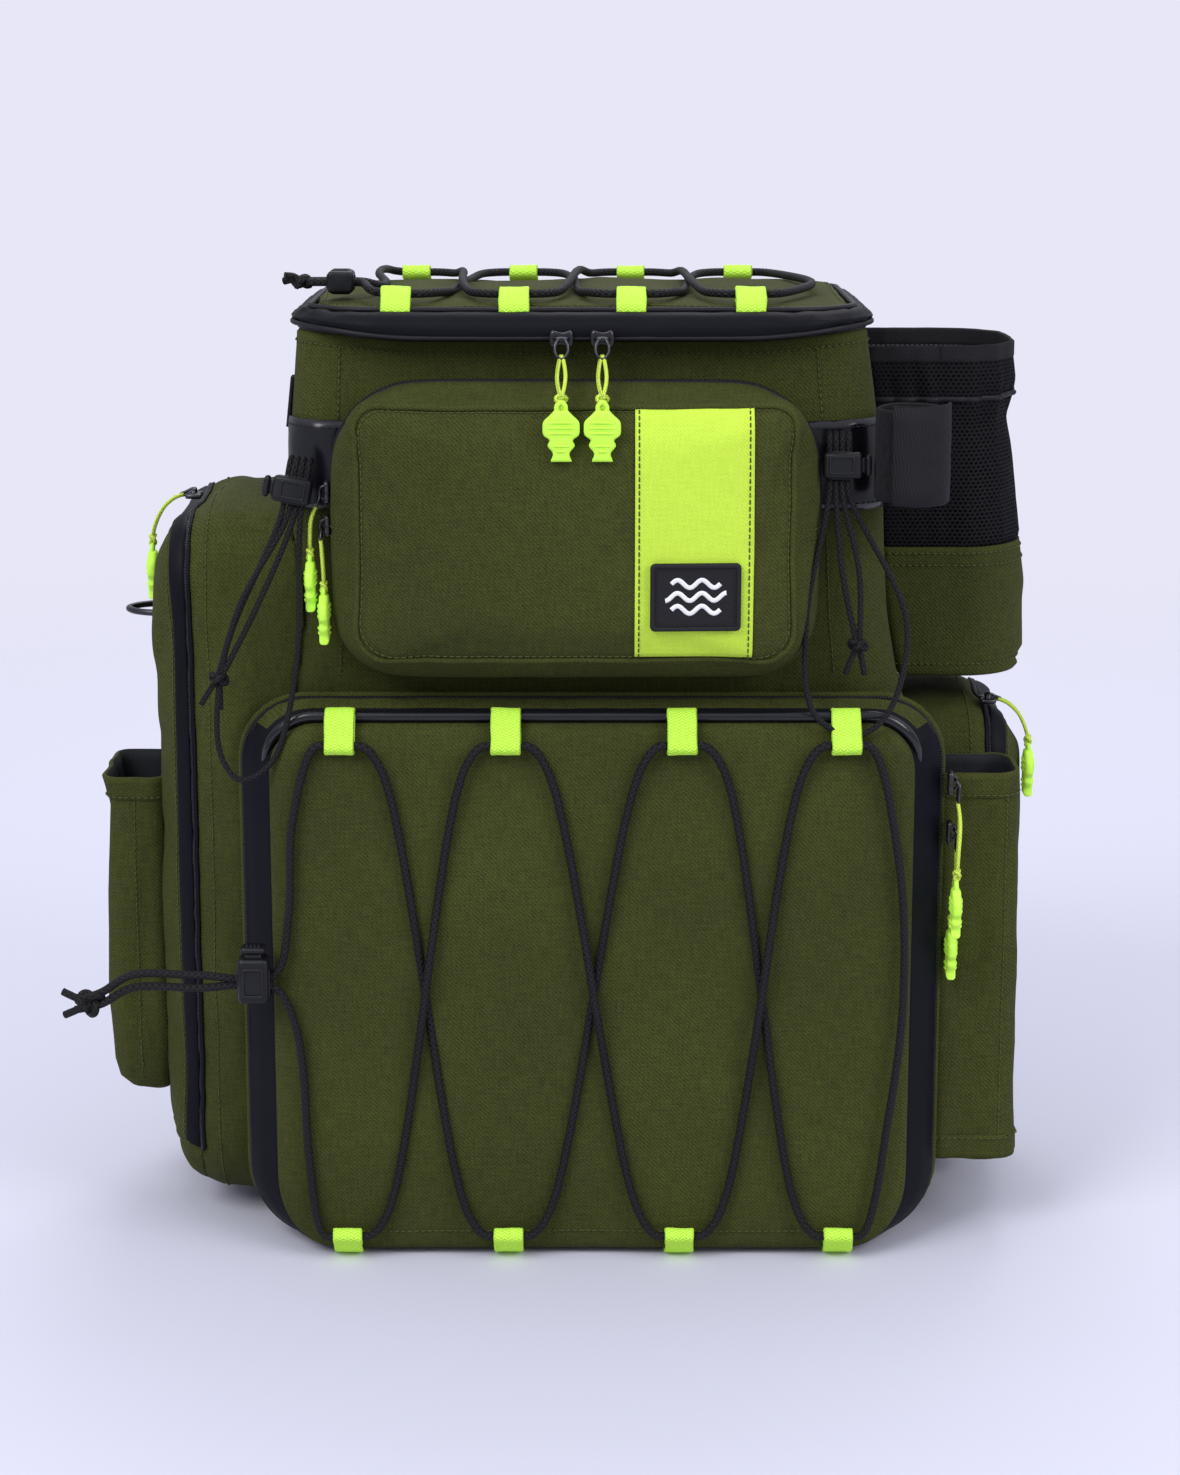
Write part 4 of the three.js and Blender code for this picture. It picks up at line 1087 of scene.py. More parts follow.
def make_door():
    rail = [(97.2, 0.6), (97.5, -0.1), (98.6, -0.5), (100.2, -0.4), (105.5, 3.2), (111, 7.2), (112.2, 8.6),
            (111.8, 10.6), (104, 11.6), (98, 11.6), (97.2, 10)]
    band = piece("door_zip_rail", on_front(border(DOOR_RECT, DOOR_RADII, rail)), band_soft, "door",
                 replaces=("door_zip_band",))
    band.data.materials.append(olive.material)
    centres = np.array([p.center for p in band.data.polygons]) / MM
    for polygon, fabric in zip(band.data.polygons, is_hem(centres) | is_storm_flap(centres)):
        polygon.material_index = int(fabric)
    rumple(band, 0.6, (18, 34, 18), 21)
    front = [(110.5, 10.6), (112.2, 9.0), (115, 8.4), (118, 9.0), (120.4, 11), (121.8, 15), (122.6, 24)]
    padded = cushion(DOOR_RECT, DOOR_RADII, front, crown=2.2)
    face = piece("door_face", on_front(padded), olive, "door", replaces=("door_panel",))

    def free(p):
        return smooth(-p[:, 1], 118, 122)

    rumple(face, 1.6, (80, 60, 110), 22, free)
    rumple(face, 0.6, (20, 30, 26), 23, free)
    apply(face, "SUBSURF", levels=1)
    lining_pad = cushion(DOOR_RECT, DOOR_RADII, [(98.6, 14), (99.4, 11.9), (109, 11.9)], crown=0, back=-0.6)
    piece("door_lining", on_front(lining_pad), lining, "door")

    path = door_line(5.8, DOOR_SEAM + 0.8, 420)
    piping_end = 248
    path = path[path[:, 2] > piping_end]
    taper = smooth(path[:, 2], piping_end, 282)
    path[:, 1] += 8.0 * (1 - taper)
    piece("door_piping", tube(path, 3.3, sides=14, scale=0.3 + 0.7 * taper), band_finish, "door")

    coil = door_line(-0.6, 98.2, 500)
    keep = [i for i in order_from_left(coil) if not is_hem(coil[i:i + 1])[0]]
    piece("door_zip_coil", tube(coil[keep], 1.0, sides=7), zip_finish, "door")

    hem_row = [(x, -118, 14.5) for x in np.linspace(*HEM, 90)]
    row, row_ups = hug(hem_row, face, lift=0.15, direction=(0, 1, 0))
    sewn("door_hem_stitching", [stitching(row, row_ups)], "door")


def order_from_left(points):
    """Indices round a closed outline, starting after its hem."""
    start = int(np.argmax(is_hem(points)))
    order = np.roll(np.arange(len(points)), -start)
    hem = is_hem(points)
    first = next(k for k, i in enumerate(order) if not hem[i])
    return np.roll(order, -first)


make_door()


def door_lacing():
    xs = [-126, -43, 45, 127]
    rows = [273, 13.8]
    level = DOOR_FACE + 1.8 + CORD + 0.6
    lock_z = node_middle("door_cord_lock")[2] - 1.5
    in_lock = [-233, -200, -161]

    def strand(side, x):
        return (x, lock_z + side * LOOP_SPREAD)

    start = [(-262, 141), (-249, 145), *[strand(1, x) for x in in_lock], (-153, 186), (-150, 235)]
    turn = [(152, 80), (158, 145), (154, 215)]
    end = [(-145, 56), (-147, 100), (-151, 128), *[strand(-1, x) for x in in_lock[::-1]], (-249, 139),
           (-262, 136)]
    line = lace(xs, xs, rows, (start, turn, end), (10, 15))
    height = level + 1.0 * smooth(-line[:, 0], 150, 168)
    height += (LACE_HEIGHT - 4.4) * smooth(np.abs(line[:, 1] - 143), 112, 124)
    height += crossing_rise(line, line[:, 0] > -140)
    middle = np.array([-254, 140, level + 1.0])
    shapes = [tube(with_height(line, averaged(height, 3)), CORD * TWISTED_CORD, sides=12),
              knot(middle, 6.2, CORD * 0.95),
              *cut_ends(middle, [(-0.95, 0.35, 0.1), (-0.9, -0.45, 0.2)], CORD, 15)]
    piece("door_shock_cord", lay(merged(shapes), FRONT), cord_finish, "door", replaces=("door_lacing_cord",),
          recalculate=False)
    top = [(287.6, 111.4), (289.6, 114.5), (288.6, 119.5), (284, 124.2), (278, 127.6), (273, level + 4.2),
           (269.4, level + 0.6), (273, level - 2.6), (279, 124), (285.6, 119), (287, 112)]
    bottom = [(3.2, 111.4), (1.4, 114.5), (2.2, 119.5), (5, 124.2), (9, 127.6), (13.8, level + 4.2),
              (17.4, level + 0.6), (13.8, level - 2.6), (9, 123.4), (5.4, 118.5), (3.8, 112)]
    shapes = [tab_shape(side_view, x) for side_view in (top, bottom) for x in xs]
    tabs = piece("door_webbing_tabs", lay(merged(shapes), FRONT), neon_web, "door", replaces=("door_tabs",))
    rumple(tabs, 0.5, 12, 25)


door_lacing()


# ------------------------------------------------------------------ hollow pockets and strips sewn on them
def keep_faces(obj, wanted):
    """Drops the faces for which wanted(centre in mm, normal) is false, and the points they leave loose."""
    work = bmesh.new()
    work.from_mesh(obj.data)
    work.normal_update()
    doomed = [f for f in work.faces if not wanted(np.array(f.calc_center_median()) / MM, f.normal)]
    bmesh.ops.delete(work, geom=doomed, context="FACES")
    loose = [v for v in work.verts if not v.link_faces]
    bmesh.ops.delete(work, geom=loose, context="VERTS")
    work.to_mesh(obj.data)
    work.free()
    return obj


def halved(obj, point, normal):
    """Keeps the side of a plane that the normal points to."""
    work = bmesh.new()
    work.from_mesh(obj.data)
    geometry = work.verts[:] + work.edges[:] + work.faces[:]
    place = Vector(point) * MM
    bmesh.ops.bisect_plane(work, geom=geometry, plane_co=place, plane_no=normal, clear_inner=True)
    work.to_mesh(obj.data)
    work.free()
    return obj


def sheet(rows, closed=False):
    """A skin through rows of points laid side by side."""
    rows = [np.asarray(row) for row in rows]
    count = len(rows[0])
    faces = []
    for k in range(len(rows) - 1):
        for i in range(count if closed else count - 1):
            j = (i + 1) % count
            faces.append((k * count + i, k * count + j, (k + 1) * count + j, (k + 1) * count + i))
    return np.vstack(rows), faces


def strip_on(name, rows, surface, finish, body, lift, thickness, closed=False, direction=None, reach=3):
    """A strip of fabric sewn onto another piece: it follows it at a small height."""
    placed = [averaged(hug(row, surface, lift=lift, direction=direction)[0], reach, closed) for row in rows]
    points, faces = sheet(placed, closed)
    obj = piece(name, (points, faces), finish, body, recalculate=False)
    sample = slice(None, None, max(1, len(points) // 40))
    _, ups = hug(points[sample], surface, direction=direction)
    if np.sum(normals_of(obj)[sample] * ups) < 0:
        obj.data.flip_normals()
    return thicken(obj, thickness, inner_slot=0)


def row_on(surface, row, lift=0.15, closed=False, direction=None, thread=0.42):
    """A row of stitches on a piece."""
    path, ups = hug(row, surface, lift=lift, direction=direction)
    return stitching(path, ups, closed=closed, thread=thread)


# ------------------------------------------------------------------ upper front pocket
pocket_lo, pocket_hi = box("front_pocket_gusset")
BACK_RADII = np.array([34, 34, 42, 42])
FACE_RADII = np.array([18, 18, 13, 13])
FACE_SEAM = (127.5, 12, 7, 19)  # w, and how far in from the sides, the top and the bottom


def pocket_ring(w, side, top, bottom, count=COUNT):
    """The pocket's outline: wide round corners at the body and tighter ones at its face."""
    rect = (pocket_lo[0] + side, pocket_hi[0] - side, pocket_lo[2] + bottom, pocket_hi[2] - top)
    near = smooth(w, 104, 126)
    return with_height(rounded(rect, BACK_RADII * (1 - near) + FACE_RADII * near, 0, count), w)


def pocket_line(w, side, top, bottom, count):
    return lay((pocket_ring(w, side, top, bottom, count), []), FRONT)[0]


def make_front_pocket():
    levels = [(97.2, 2, 2, 9), (99.5, 0.6, 0.4, 8), (103, 0, 0, 7.5), (110, 1.5, 1, 9), (116, 4, 2.5, 12),
              (121, 7, 4, 15), (125, 10, 6, 17.6), FACE_SEAM, (129.4, 13.4, 8.6, 20.6), (130.8, 17, 12, 24)]
    rings = [pocket_ring(*level) for level in levels]
    bag = piece("front_pocket_bag", lay(closed_form(rings, crown=2.0), FRONT), olive, "front_pocket",
                replaces=("front_pocket_gusset", "front_pocket_panel"), inner=lining)
    inflate(bag, 3.5, pinned=lambda p: p[:, 1] > -99.5, voxel=4.5)
    seam = pocket_line(*FACE_SEAM, 300)
    seam_pull(bag, seam, 6, 1.3, 1.2, 8, 31)
    rumple(bag, 0.9, (60, 40, 50), 32, lambda p: smooth(-p[:, 1], 100, 110))
    keep_faces(bag, lambda c, n: not (n.y > 0.7 and c[1] > -99))
    thicken(bag, 1.6)
    path, _ = hug(seam, bag, lift=0.5)
    piece("front_pocket_piping", tube(path, 1.7, closed=True, sides=10), olive, "front_pocket")
    inner_row = pocket_line(128, 15.5, 10.5, 22.5, 300)
    sewn("front_pocket_stitching", [row_on(bag, inner_row, closed=True)], "front_pocket")
    zip_end = 352
    top = pocket_line(100.2, 0.2, 0.2, 0.2, 400)
    start = int(np.argmin(top[:, 2] - top[:, 0] * 0.001))
    top = np.roll(top, -start, axis=0)
    top = top[top[:, 2] > zip_end]
    rows = [top + [0, -dy, 0] for dy in np.linspace(-1.4, 2.6, 4)]
    strip_on("front_pocket_zip_tape", rows, bag, black_trim, "front_pocket", lift=0.5, thickness=0.7)
    path, _ = hug(top + [0, -0.8, 0], bag, lift=0.8)
    piece("front_pocket_zip_coil", tube(averaged(path, 3), 0.8, sides=7), zip_finish, "front_pocket")
    rows = []
    for x in (pocket_lo[0], pocket_hi[0]):
        cross = np.array([(x, -w, 378) for w in np.linspace(104, 126, 40)])
        seam_pull(bag, cross, 4, 0.8)
        rows += [row_on(bag, cross + [0, 0, dz], lift=0.1) for dz in (-2.4, 2.4)]
    sewn("front_pocket_gusset_stitching", rows, "front_pocket")
    return bag


pocket_bag = make_front_pocket()


def make_accent():
    lo, hi = box("accent_strip")
    inwards = (0, 1, 0)
    heights = np.linspace(lo[2] - 2.6, hi[2] + 3.6, 60)
    rows = [[(x, -120, z) for z in heights] for x in np.linspace(lo[0], hi[0], 24)]
    strip = strip_on("pocket_accent_strip", rows, pocket_bag, accent_finish, "front_pocket", lift=1.0,
                     thickness=0.5, direction=inwards, reach=0)
    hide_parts("accent_strip")
    lines = []
    for x in (lo[0] + 2, hi[0] - 2):
        lines.append(row_on(strip, [(x, -120, z) for z in heights], 0.05, direction=inwards, thread=0.4))
    sewn("accent_stitching", lines, "front_pocket")
    return strip


accent_strip = make_accent()


def make_patch():
    """A plain label: a moulded plate with a raised lip and three waves."""
    patch_lo, patch_hi = box("label_patch")
    middle = (patch_lo + patch_hi) / 2
    spots, ups = hug([(middle[0], -120, middle[2])], accent_strip, direction=(0, 1, 0))
    spot = spots[0]
    out = ups[0]
    across = unit(np.cross([0, 0, 1.0], out))
    axes = np.array([across, np.cross(out, across), out])
    half = (patch_hi - patch_lo) / 2
    rect = (-half[0], half[0], -half[2], half[2])
    plate = cushion(rect, 2.4, [(0.2, 0.3), (0.5, 0), (1.7, 0), (2.0, 0.4)], crown=0)
    lip = border(rect, 2.4, [(1.4, 0.1), (2.5, 0.3), (2.8, 0.9), (2.7, 1.9), (2.3, 2.3), (1.4, 2.4)])
    piece("pocket_label_patch", lay(merged([plate, lip]), axes, spot), rubber, "front_pocket",
          replaces=("label_patch",))
    waves = []
    wave_height, wave_length = 1.9, 12
    for row, reach in ((7, 12), (0.5, 15), (-6, 12)):
        x = np.linspace(-reach, reach, 60)
        y = row + wave_height * np.sin(x * 2 * math.pi / wave_length)
        line = np.column_stack([x, y, np.full(60, 2.1)])
        waves.append(sweep(line, ellipse(1.15, 0.5, 10), [0, 0, 1]))
    piece("label_waves", lay(merged(waves), axes, spot), white_print, "front_pocket")
    ring = with_height(rounded(rect, 3, 3.2, 120), 2.05)
    stitches = lay(stitching(ring, [0, 0, 1], 2.6, 1.8, 0.3, closed=True), axes, spot)
    sewn("label_stitching", [stitches], "front_pocket", black_thread)


make_patch()


# ------------------------------------------------------------------ side pockets
def body_reach(y, z, side):
    """How far from the middle plane the body's side surface is at (y, z)."""
    profile = right_profile if side > 0 else left_profile
    over = np.clip(np.abs(y) - (BACK_Y - CORNER), 0, CORNER)
    return np.abs(np.interp(z, *profile)) - CORNER + np.sqrt(CORNER ** 2 - over ** 2)


POCKET_ZIP_END = 40  # height at which a side pocket's zip ends


def side_pocket(name, side, radii):
    """A lofted bag cut in two: the gusset stays on the body and the flap opens."""
    gusset_lo, gusset_hi = box(f"{name}_gusset")
    axes = RIGHT if side > 0 else LEFT
    y0, y1 = (gusset_lo[1], gusset_hi[1]) if side > 0 else (-gusset_hi[1], -gusset_lo[1])
    rect = (y0, y1, gusset_lo[2], gusset_hi[2])
    edge = max(abs(gusset_lo[0]), abs(gusset_hi[0]))

    def ring(w, inset, count=COUNT):
        return with_height(rounded(rect, radii, inset, count), w)

    first = ring(0, 0)
    first[:, 2] = body_reach(first[:, 0], first[:, 1], side) - 8
    second = first.copy()
    second[:, 2] = first[:, 2] * 0.5 + (edge - 14) * 0.5
    levels = [(edge - 14, 0), (edge - 7, 0.8), (edge - 2, 2.6), (edge + 2, 3.6), (edge + 6, 5.2),
              (edge + 11, 9.5), (edge + 14.6, 17), (edge + 16, 28)]
    rings = [first, second, *[ring(w, inset) for w, inset in levels]]
    bag = piece(f"{name}_gusset_skin", lay(closed_form(rings, crown=1.0), axes), olive, "root",
                replaces=(f"{name}_gusset",), inner=lining)
    inflate(bag, 4.0, pinned=lambda p: np.abs(p[:, 0]) < 172, voxel=5.5)

    def line(w, inset, count):
        return lay((ring(w, inset, count), []), axes)[0]

    seam_pull(bag, line(edge + 0.2, 3.2, 300), 9, 1.0, 1.4, 9, 41)

    def free(p):
        x = np.abs(p[:, 0])
        return smooth(x, 172, 188) * (0.15 + 0.85 * smooth(np.abs(x - edge - 1), 6, 18))

    rumple(bag, 2.6, (60, 48, 66), 42 + side, free)
    rumple(bag, 0.8, (18, 16, 22), 44 + side, free)

    def outside(c, n):
        return side * c[0] > body_reach(c[1], c[2], side) - 2.5 and not (side * n.x < -0.75)

    keep_faces(bag, outside)
    flap = bag.copy()
    flap.data = bag.data.copy()
    flap.name = f"{name}_flap"
    bpy.context.scene.collection.objects.link(flap)
    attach(flap, name)
    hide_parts(f"{name}_panel")
    halved(bag, (side * (edge - 0.3), 0, 0), (-side, 0, 0))
    halved(flap, (side * (edge + 0.3), 0, 0), (side, 0, 0))
    for skin in (bag, flap):
        thicken(skin, 2.0)

    outline = line(edge, 3.4, 420)
    start = int(np.argmin(outline[:, 2]))
    outline = np.roll(outline, -start, axis=0)
    run = outline[outline[:, 2] > POCKET_ZIP_END]
    middle = np.array([0, (rect[0] + rect[1]) / 2 * side, (rect[2] + rect[3]) / 2])
    inward = unit(middle - run * [0, 1, 1]) * [0, 1, 1]
    rows = [run + [side * w, 0, 0] + inward * (w * 0.5) for w in np.linspace(0.5, 9.5, 6)]
    strip_on(f"{name}_zip_band", rows, flap, band_soft, name, lift=1.5, thickness=1.5)
    rows = [run + [-side * w, 0, 0] for w in np.linspace(0.5, 2.4, 3)]
    strip_on(f"{name}_gusset_band", rows, bag, band_soft, "root", lift=1.5, thickness=1.5)
    path, _ = hug(run, bag, flap, lift=0.6)
    piece(f"{name}_zip_coil", tube(path, 1.1, sides=7), zip_finish, "root")
    path, ups = hug(run + [side * 12.5, 0, 0] + inward * 8, flap, lift=0.15)
    rows = [stitching(averaged(path, 3), ups)]
    inwards = (-side, 0, 0)
    depths = np.linspace(gusset_lo[1] + 12, gusset_hi[1] - 12, 60)
    across = [(side * (edge + 30), y, POCKET_ZIP_END + 2) for y in depths]
    fold, _ = hug(across, flap, lift=0.2, direction=inwards)
    seam_pull(flap, fold, 7, 1.0, 0.8, 8, 47)
    rows.append(row_on(flap, fold + [0, 0, 3.5], direction=inwards))
    sewn(f"{name}_stitching", rows, name)
    foot = line(edge - 10.5, 0, 420)
    sewn(f"{name}_gusset_stitching", [row_on(bag, foot, closed=True)], "root")


side_pocket("left_pocket", -1, (52, 52, 40, 40))
side_pocket("right_pocket", 1, (40, 40, 30, 30))


def make_plier_pocket():
    lo, hi = box("plier_pocket")
    wall = hi[0]
    depth = hi[0] - lo[0]
    levels = [(lo[2] - 0.5, 11, 18), (lo[2] + 2, 7, 24), (lo[2] + 8, 3, 29), (lo[2] + 18, 1, depth - 1)]
    levels += [(z, 0, depth) for z in np.linspace(lo[2] + 30, hi[2] - 50, 9)]
    levels += [(hi[2] - 30, 0.3, depth - 1.5), (hi[2] - 16, 0.3, depth - 2), (hi[2] - 6, -0.4, depth - 0.5),
               (hi[2], -1.2, depth + 1)]
    rings = []
    for z, inset, out in levels:
        rect = (wall - out, wall - 0.3 * inset, lo[1] + inset, hi[1] - inset)
        rings.append(with_height(rounded(rect, 9), z))
    pouch = piece("plier_pouch", bowl(rings, 1), olive, "left_pocket", replaces=("plier_pocket",),
                  inner=lining, recalculate=False)

    def free(p):
        return smooth(wall - p[:, 0], 4, 14)

    rumple(pouch, 2.2, (26, 30, 60), 51, lambda p: free(p) * smooth(p[:, 2], lo[2], lo[2] + 25))
    rumple(pouch, 0.8, (12, 12, 26), 52, free)
    thicken(pouch, 1.8)
    hem = rings[-1]
    rows = [hem - [0, 0, dz] for dz in np.linspace(0.2, 12, 6)]
    strip_on("plier_pouch_hem", rows, pouch, olive, "left_pocket", lift=0.7, thickness=0.8, closed=True)
    side_line = [(wall - depth * 0.5, lo[1] - 2, z) for z in np.linspace(lo[2] + 12, hi[2] - 14, 60)]
    rows = [row_on(pouch, hem - [0, 0, 10.4], 0.9, closed=True), row_on(pouch, side_line)]
    sewn("plier_pouch_stitching", rows, "left_pocket")


make_plier_pocket()


def make_d_ring():
    lo, hi = box("d_ring")
    z = (lo[2] + hi[2]) / 2
    wire = 1.7
    bar = hi[0] - wire
    y0, y1 = lo[1] + wire, hi[1] - wire
    middle = (y0 + y1) / 2
    bow = [(bar, y0), (bar - 6, y0 + 0.4), (bar - 14, y0 + 5), (bar - 18, middle), (bar - 14, y1 - 5),
           (bar - 6, y1 - 0.4), (bar, y1)]
    loop = np.vstack([spline(bow, 1.0), [(bar + 0.6, y1 - 1), (bar + 0.6, y0 + 1)]])
    path = with_height(resample(loop, 1.0, closed=True), z)
    ring = tube(path, wire + 0.05, closed=True, sides=12)
    piece("d_ring_wire", ring, metal, "d_ring", replaces=("d_ring",))
    wrap = [(bar + 7, -26), (bar + 3.4, -14), (bar + 0.4, -3.6), (bar - 3.1, 0), (bar + 0.4, 3.2),
            (bar + 4.6, -6), (bar + 6.6, -20)]
    path = spline([(x, middle, z + dz) for x, dz in wrap], 1.0)
    band = ribbon(path, np.cross(tangents(path, False), [0, 1, 0]), 17, 1.2)
    piece("d_ring_tab", band, black_web, "left_pocket")


make_d_ring()


# ------------------------------------------------------------------ bottle pocket
def make_bottle_pocket():
    cup_lo, cup_hi = box("bottle_pocket_cup")
    net_lo, net_hi = box("bottle_pocket_mesh")
    cup_profile = panel_profile("bottle_pocket_cup", 1)
    net_profile = panel_profile("bottle_pocket_mesh", 1)

    def ring(z, profile, pleat=0.0):
        inner = np.interp(z, *right_profile) + 1.0
        tucked = 1.6 * smooth(cup_hi[2] + 5 - z, 0, 4) if profile is net_profile else 0
        outer = np.interp(z, *profile) - tucked
        outline = rounded((inner, outer, cup_lo[1] + tucked, cup_hi[1] - tucked), (6, 34, 34, 6), 0, 200)
        centre = np.array([inner, (cup_lo[1] + cup_hi[1]) / 2])
        turn = np.arctan2(*(outline - centre).T[::-1])
        wobble = pleat * (np.sin(turn * 26) + 0.5 * np.sin(turn * 41 + 1.3))
        free = smooth(outline[:, 0], inner + 6, inner + 22)
        return with_height(outline + unit(outline - centre) * (wobble * free)[:, None], z)

    base = cup_lo[2]
    rings = [ring(z, cup_profile) for z in (base, *np.linspace(base + 1, cup_hi[2] + 1, 22))]
    centre = rings[0].mean(axis=0)
    rings[0] = centre + (rings[0] - centre) * [0.95, 0.95, 1] - [0, 0, 0.8]
    cup = piece("bottle_cup", bowl(rings, -1.6), olive, "root", replaces=("bottle_pocket_cup",), inner=lining,
                recalculate=False)

    def free(p):
        return smooth(p[:, 0], 178, 196)

    rumple(cup, 1.3, (40, 40, 34), 61, lambda p: free(p) * smooth(p[:, 2], base + 6, base + 26))
    thicken(cup, 2.0)
    gather = 432  # height of the elastic
    levels = np.linspace(net_lo[2] - 2, net_hi[2], 44)
    rings = [ring(z, net_profile, 1.3 * math.exp(-((z - gather) / 13) ** 2) + 0.25) for z in levels]
    mesh = piece("bottle_mesh", through(rings), net, "root", replaces=("bottle_pocket_mesh",),
                 recalculate=False)
    rumple(mesh, 1.6, (24, 24, 40), 62, free)
    thicken(mesh, 0.7, 0)
    path, _ = hug(ring(net_hi[2], net_profile, 0.4), mesh)
    outwards = unit(path - path.mean(axis=0)) * [1, 1, 0]
    piece("bottle_mesh_binding", ribbon(path, outwards, 9, 1.6, closed=True), black_web, "root")
    row, _ = hug(ring(gather, net_profile, 1.2), mesh, lift=0.3)
    piece("bottle_elastic", tube(row, 1.5, closed=True, sides=8), black_trim, "root")
    levels = (cup_hi[2] - 2.2, cup_hi[2] - 8.5, cup_lo[2] + 6)
    rows = [row_on(cup, ring(z, cup_profile), 0.2, closed=True) for z in levels]
    sewn("bottle_cup_stitching", rows, "root")


make_bottle_pocket()


# ------------------------------------------------------------------ rod holder and reinforcement band
def make_rod_sleeve():
    lo, hi = box("rod_sleeve")
    narrow = hi[0] - 3

    def ring(z):
        flare = 3 * (hi[2] - z) / (hi[2] - lo[2])
        return with_height(rounded((lo[0], narrow + flare, lo[1], hi[1]), (12, 12, 12, 4)), z)

    rings = [ring(z) for z in np.linspace(lo[2], hi[2], 42)]
    sleeve = piece("rod_tube_sleeve", through(rings), olive, "root", replaces=("rod_sleeve",), inner=lining,
                   recalculate=False)

    def free(p):
        return smooth(p[:, 0], lo[0] + 4, lo[0] + 16)

    rumple(sleeve, 2.0, (30, 30, 70), 71, free)
    rumple(sleeve, 0.6, (12, 12, 20), 72, free)
    thicken(sleeve, 1.8)
    rows = []
    for z, way, label in ((hi[2], -1, "upper"), (lo[2], 1, "lower")):
        hem = [ring(z + way * d) for d in np.linspace(0.2, 13, 6)]
        strip_on(f"rod_sleeve_hem_{label}", hem, sleeve, olive, "root", lift=0.6, thickness=0.7, closed=True)
        rows.append(row_on(sleeve, ring(z + way * 11.4), 0.75, closed=True))
    line = [(hi[0] - 9.5, lo[1] - 3, z) for z in np.linspace(lo[2] + 14, hi[2] - 14, 90)]
    rows.append(row_on(sleeve, line, direction=(0, 1, 0)))
    sewn("rod_sleeve_stitching", rows, "root")


make_rod_sleeve()


def make_band():
    lo, hi = box("reinforcement_band")

    def row(z):
        ring = body_ring(z, -1.4, 420)
        ring = np.roll(ring, 210, axis=0)
        return ring[ring[:, 1] < FRONT_Y + 18]

    count = min(len(row(z)) for z in (lo[2], hi[2]))
    rows = [resample(row(z), count=count) for z in np.linspace(lo[2], hi[2], 12)]
    band = piece("reinforcement_strip", sheet(rows), band_finish, "root", replaces=("reinforcement_band",),
                 recalculate=False)
    rumple(band, 0.9, (13, 13, 11), 81)
    if normals_of(band)[count // 2][1] > 0:
        band.data.flip_normals()
    thicken(band, 1.2, 0)
    levels = (lo[2] + 3.2, hi[2] - 3.2)
    lines = [row_on(band, resample(row(z), count=count), 0.1, thread=0.38) for z in levels]
    sewn("reinforcement_stitching", lines, "root", black_thread)


make_band()


def make_rod_strap():
    lo, hi = box("rod_strap")
    flap_lo, flap_hi = box("rod_strap_flap")
    radius = (hi[0] - lo[0]) / 2 - 1.2
    centre = np.array([(lo[0] + hi[0]) / 2, hi[1] - radius - 1.2])

    def hoop(r, start, end, z):
        path = with_height(arc(*centre, r, start, end, 44), z)
        return path, unit(path - [*centre, z])

    path, ups = hoop(radius, -5, 246, (lo[2] + hi[2]) / 2)
    hook = ribbon(path, ups, hi[2] - lo[2], 2.3)
    base = piece("rod_strap_base", hook, fuzz, "root", replaces=("rod_strap",))
    rumple(base, 0.4, 14, 83)
    path, ups = hoop(radius + 2.7, -122, -4, (flap_lo[2] + flap_hi[2]) / 2)
    tail = ribbon(path, ups, flap_hi[2] - flap_lo[2], 1.7)
    flap = piece("rod_strap_tail", tail, black_web, "rod_strap_flap", replaces=("rod_strap_flap",))
    rumple(flap, 0.4, 14, 84)


make_rod_strap()


# ------------------------------------------------------------------ cord locks
def cord_lock(name, axes, centre, size=1.0):
    """A moulded housing the strands pass through, and a sprung button. Drawn with the strands along u."""
    axes = np.asarray(axes) * size
    along, deep = 13.0, 11.0
    low, high = -8.0, 11.0
    rect = (-along / 2, along / 2, -deep / 2, deep / 2)
    profile = [(low, 1.3), (low + 0.5, 0.5), (low + 1.6, 0), (high - 1.8, 0), (high - 0.6, 0.5), (high, 1.4)]
    shapes = [cushion(rect, 2.2, profile, crown=0.3, back=-0.3)]
    window = (-along / 2 + 1.8, along / 2 - 1.8, low + 2.4, high - 3.6)
    rail = border(window, 1.6, [(0, 0), (0.7, 0.15), (0.9, 0.6), (0.8, 1.2), (0, 1.4)])
    for turn in (FRONT, REAR):
        shapes.append(lay(rail, turn, turn[2] * (deep / 2 - 0.3)))
    mouth = border((-3.9, 3.9, -6.6, 6.4), 2.6, [(0, 0), (0.6, 0.2), (0.8, 0.8), (0.4, 1.3), (0, 1.4)])
    for turn in (LEFT, RIGHT):
        shapes.append(lay(mouth, turn, turn[2] * (along / 2 - 0.3)))
    piece(f"{name}_housing", lay(merged(shapes), axes, centre), plastic, f"{name}_lock",
          replaces=(f"{name}_cord_lock",))
    stem = cushion((-3.6, 3.6, -2.8, 2.8), 1.4, [(9, 0.2), (10, 0), (13.8, 0)], crown=0)
    profile = [(13, 1.0), (13.4, 0.3), (14.2, 0), (15.2, 0.3), (15.7, 1.2)]
    cap = cushion((-5.4, 5.4, -4.3, 4.3), 2.2, profile, crown=0.3)
    ribs = [tube([(x, -3, 15.9), (x, 3, 15.9)], 0.4, sides=6) for x in (-2.4, -0.8, 0.8, 2.4)]
    piece(f"{name}_plunger", lay(merged([stem, cap, *ribs]), axes, centre), plastic, f"{name}_lock_button",
          replaces=(f"{name}_cord_lock_button",))


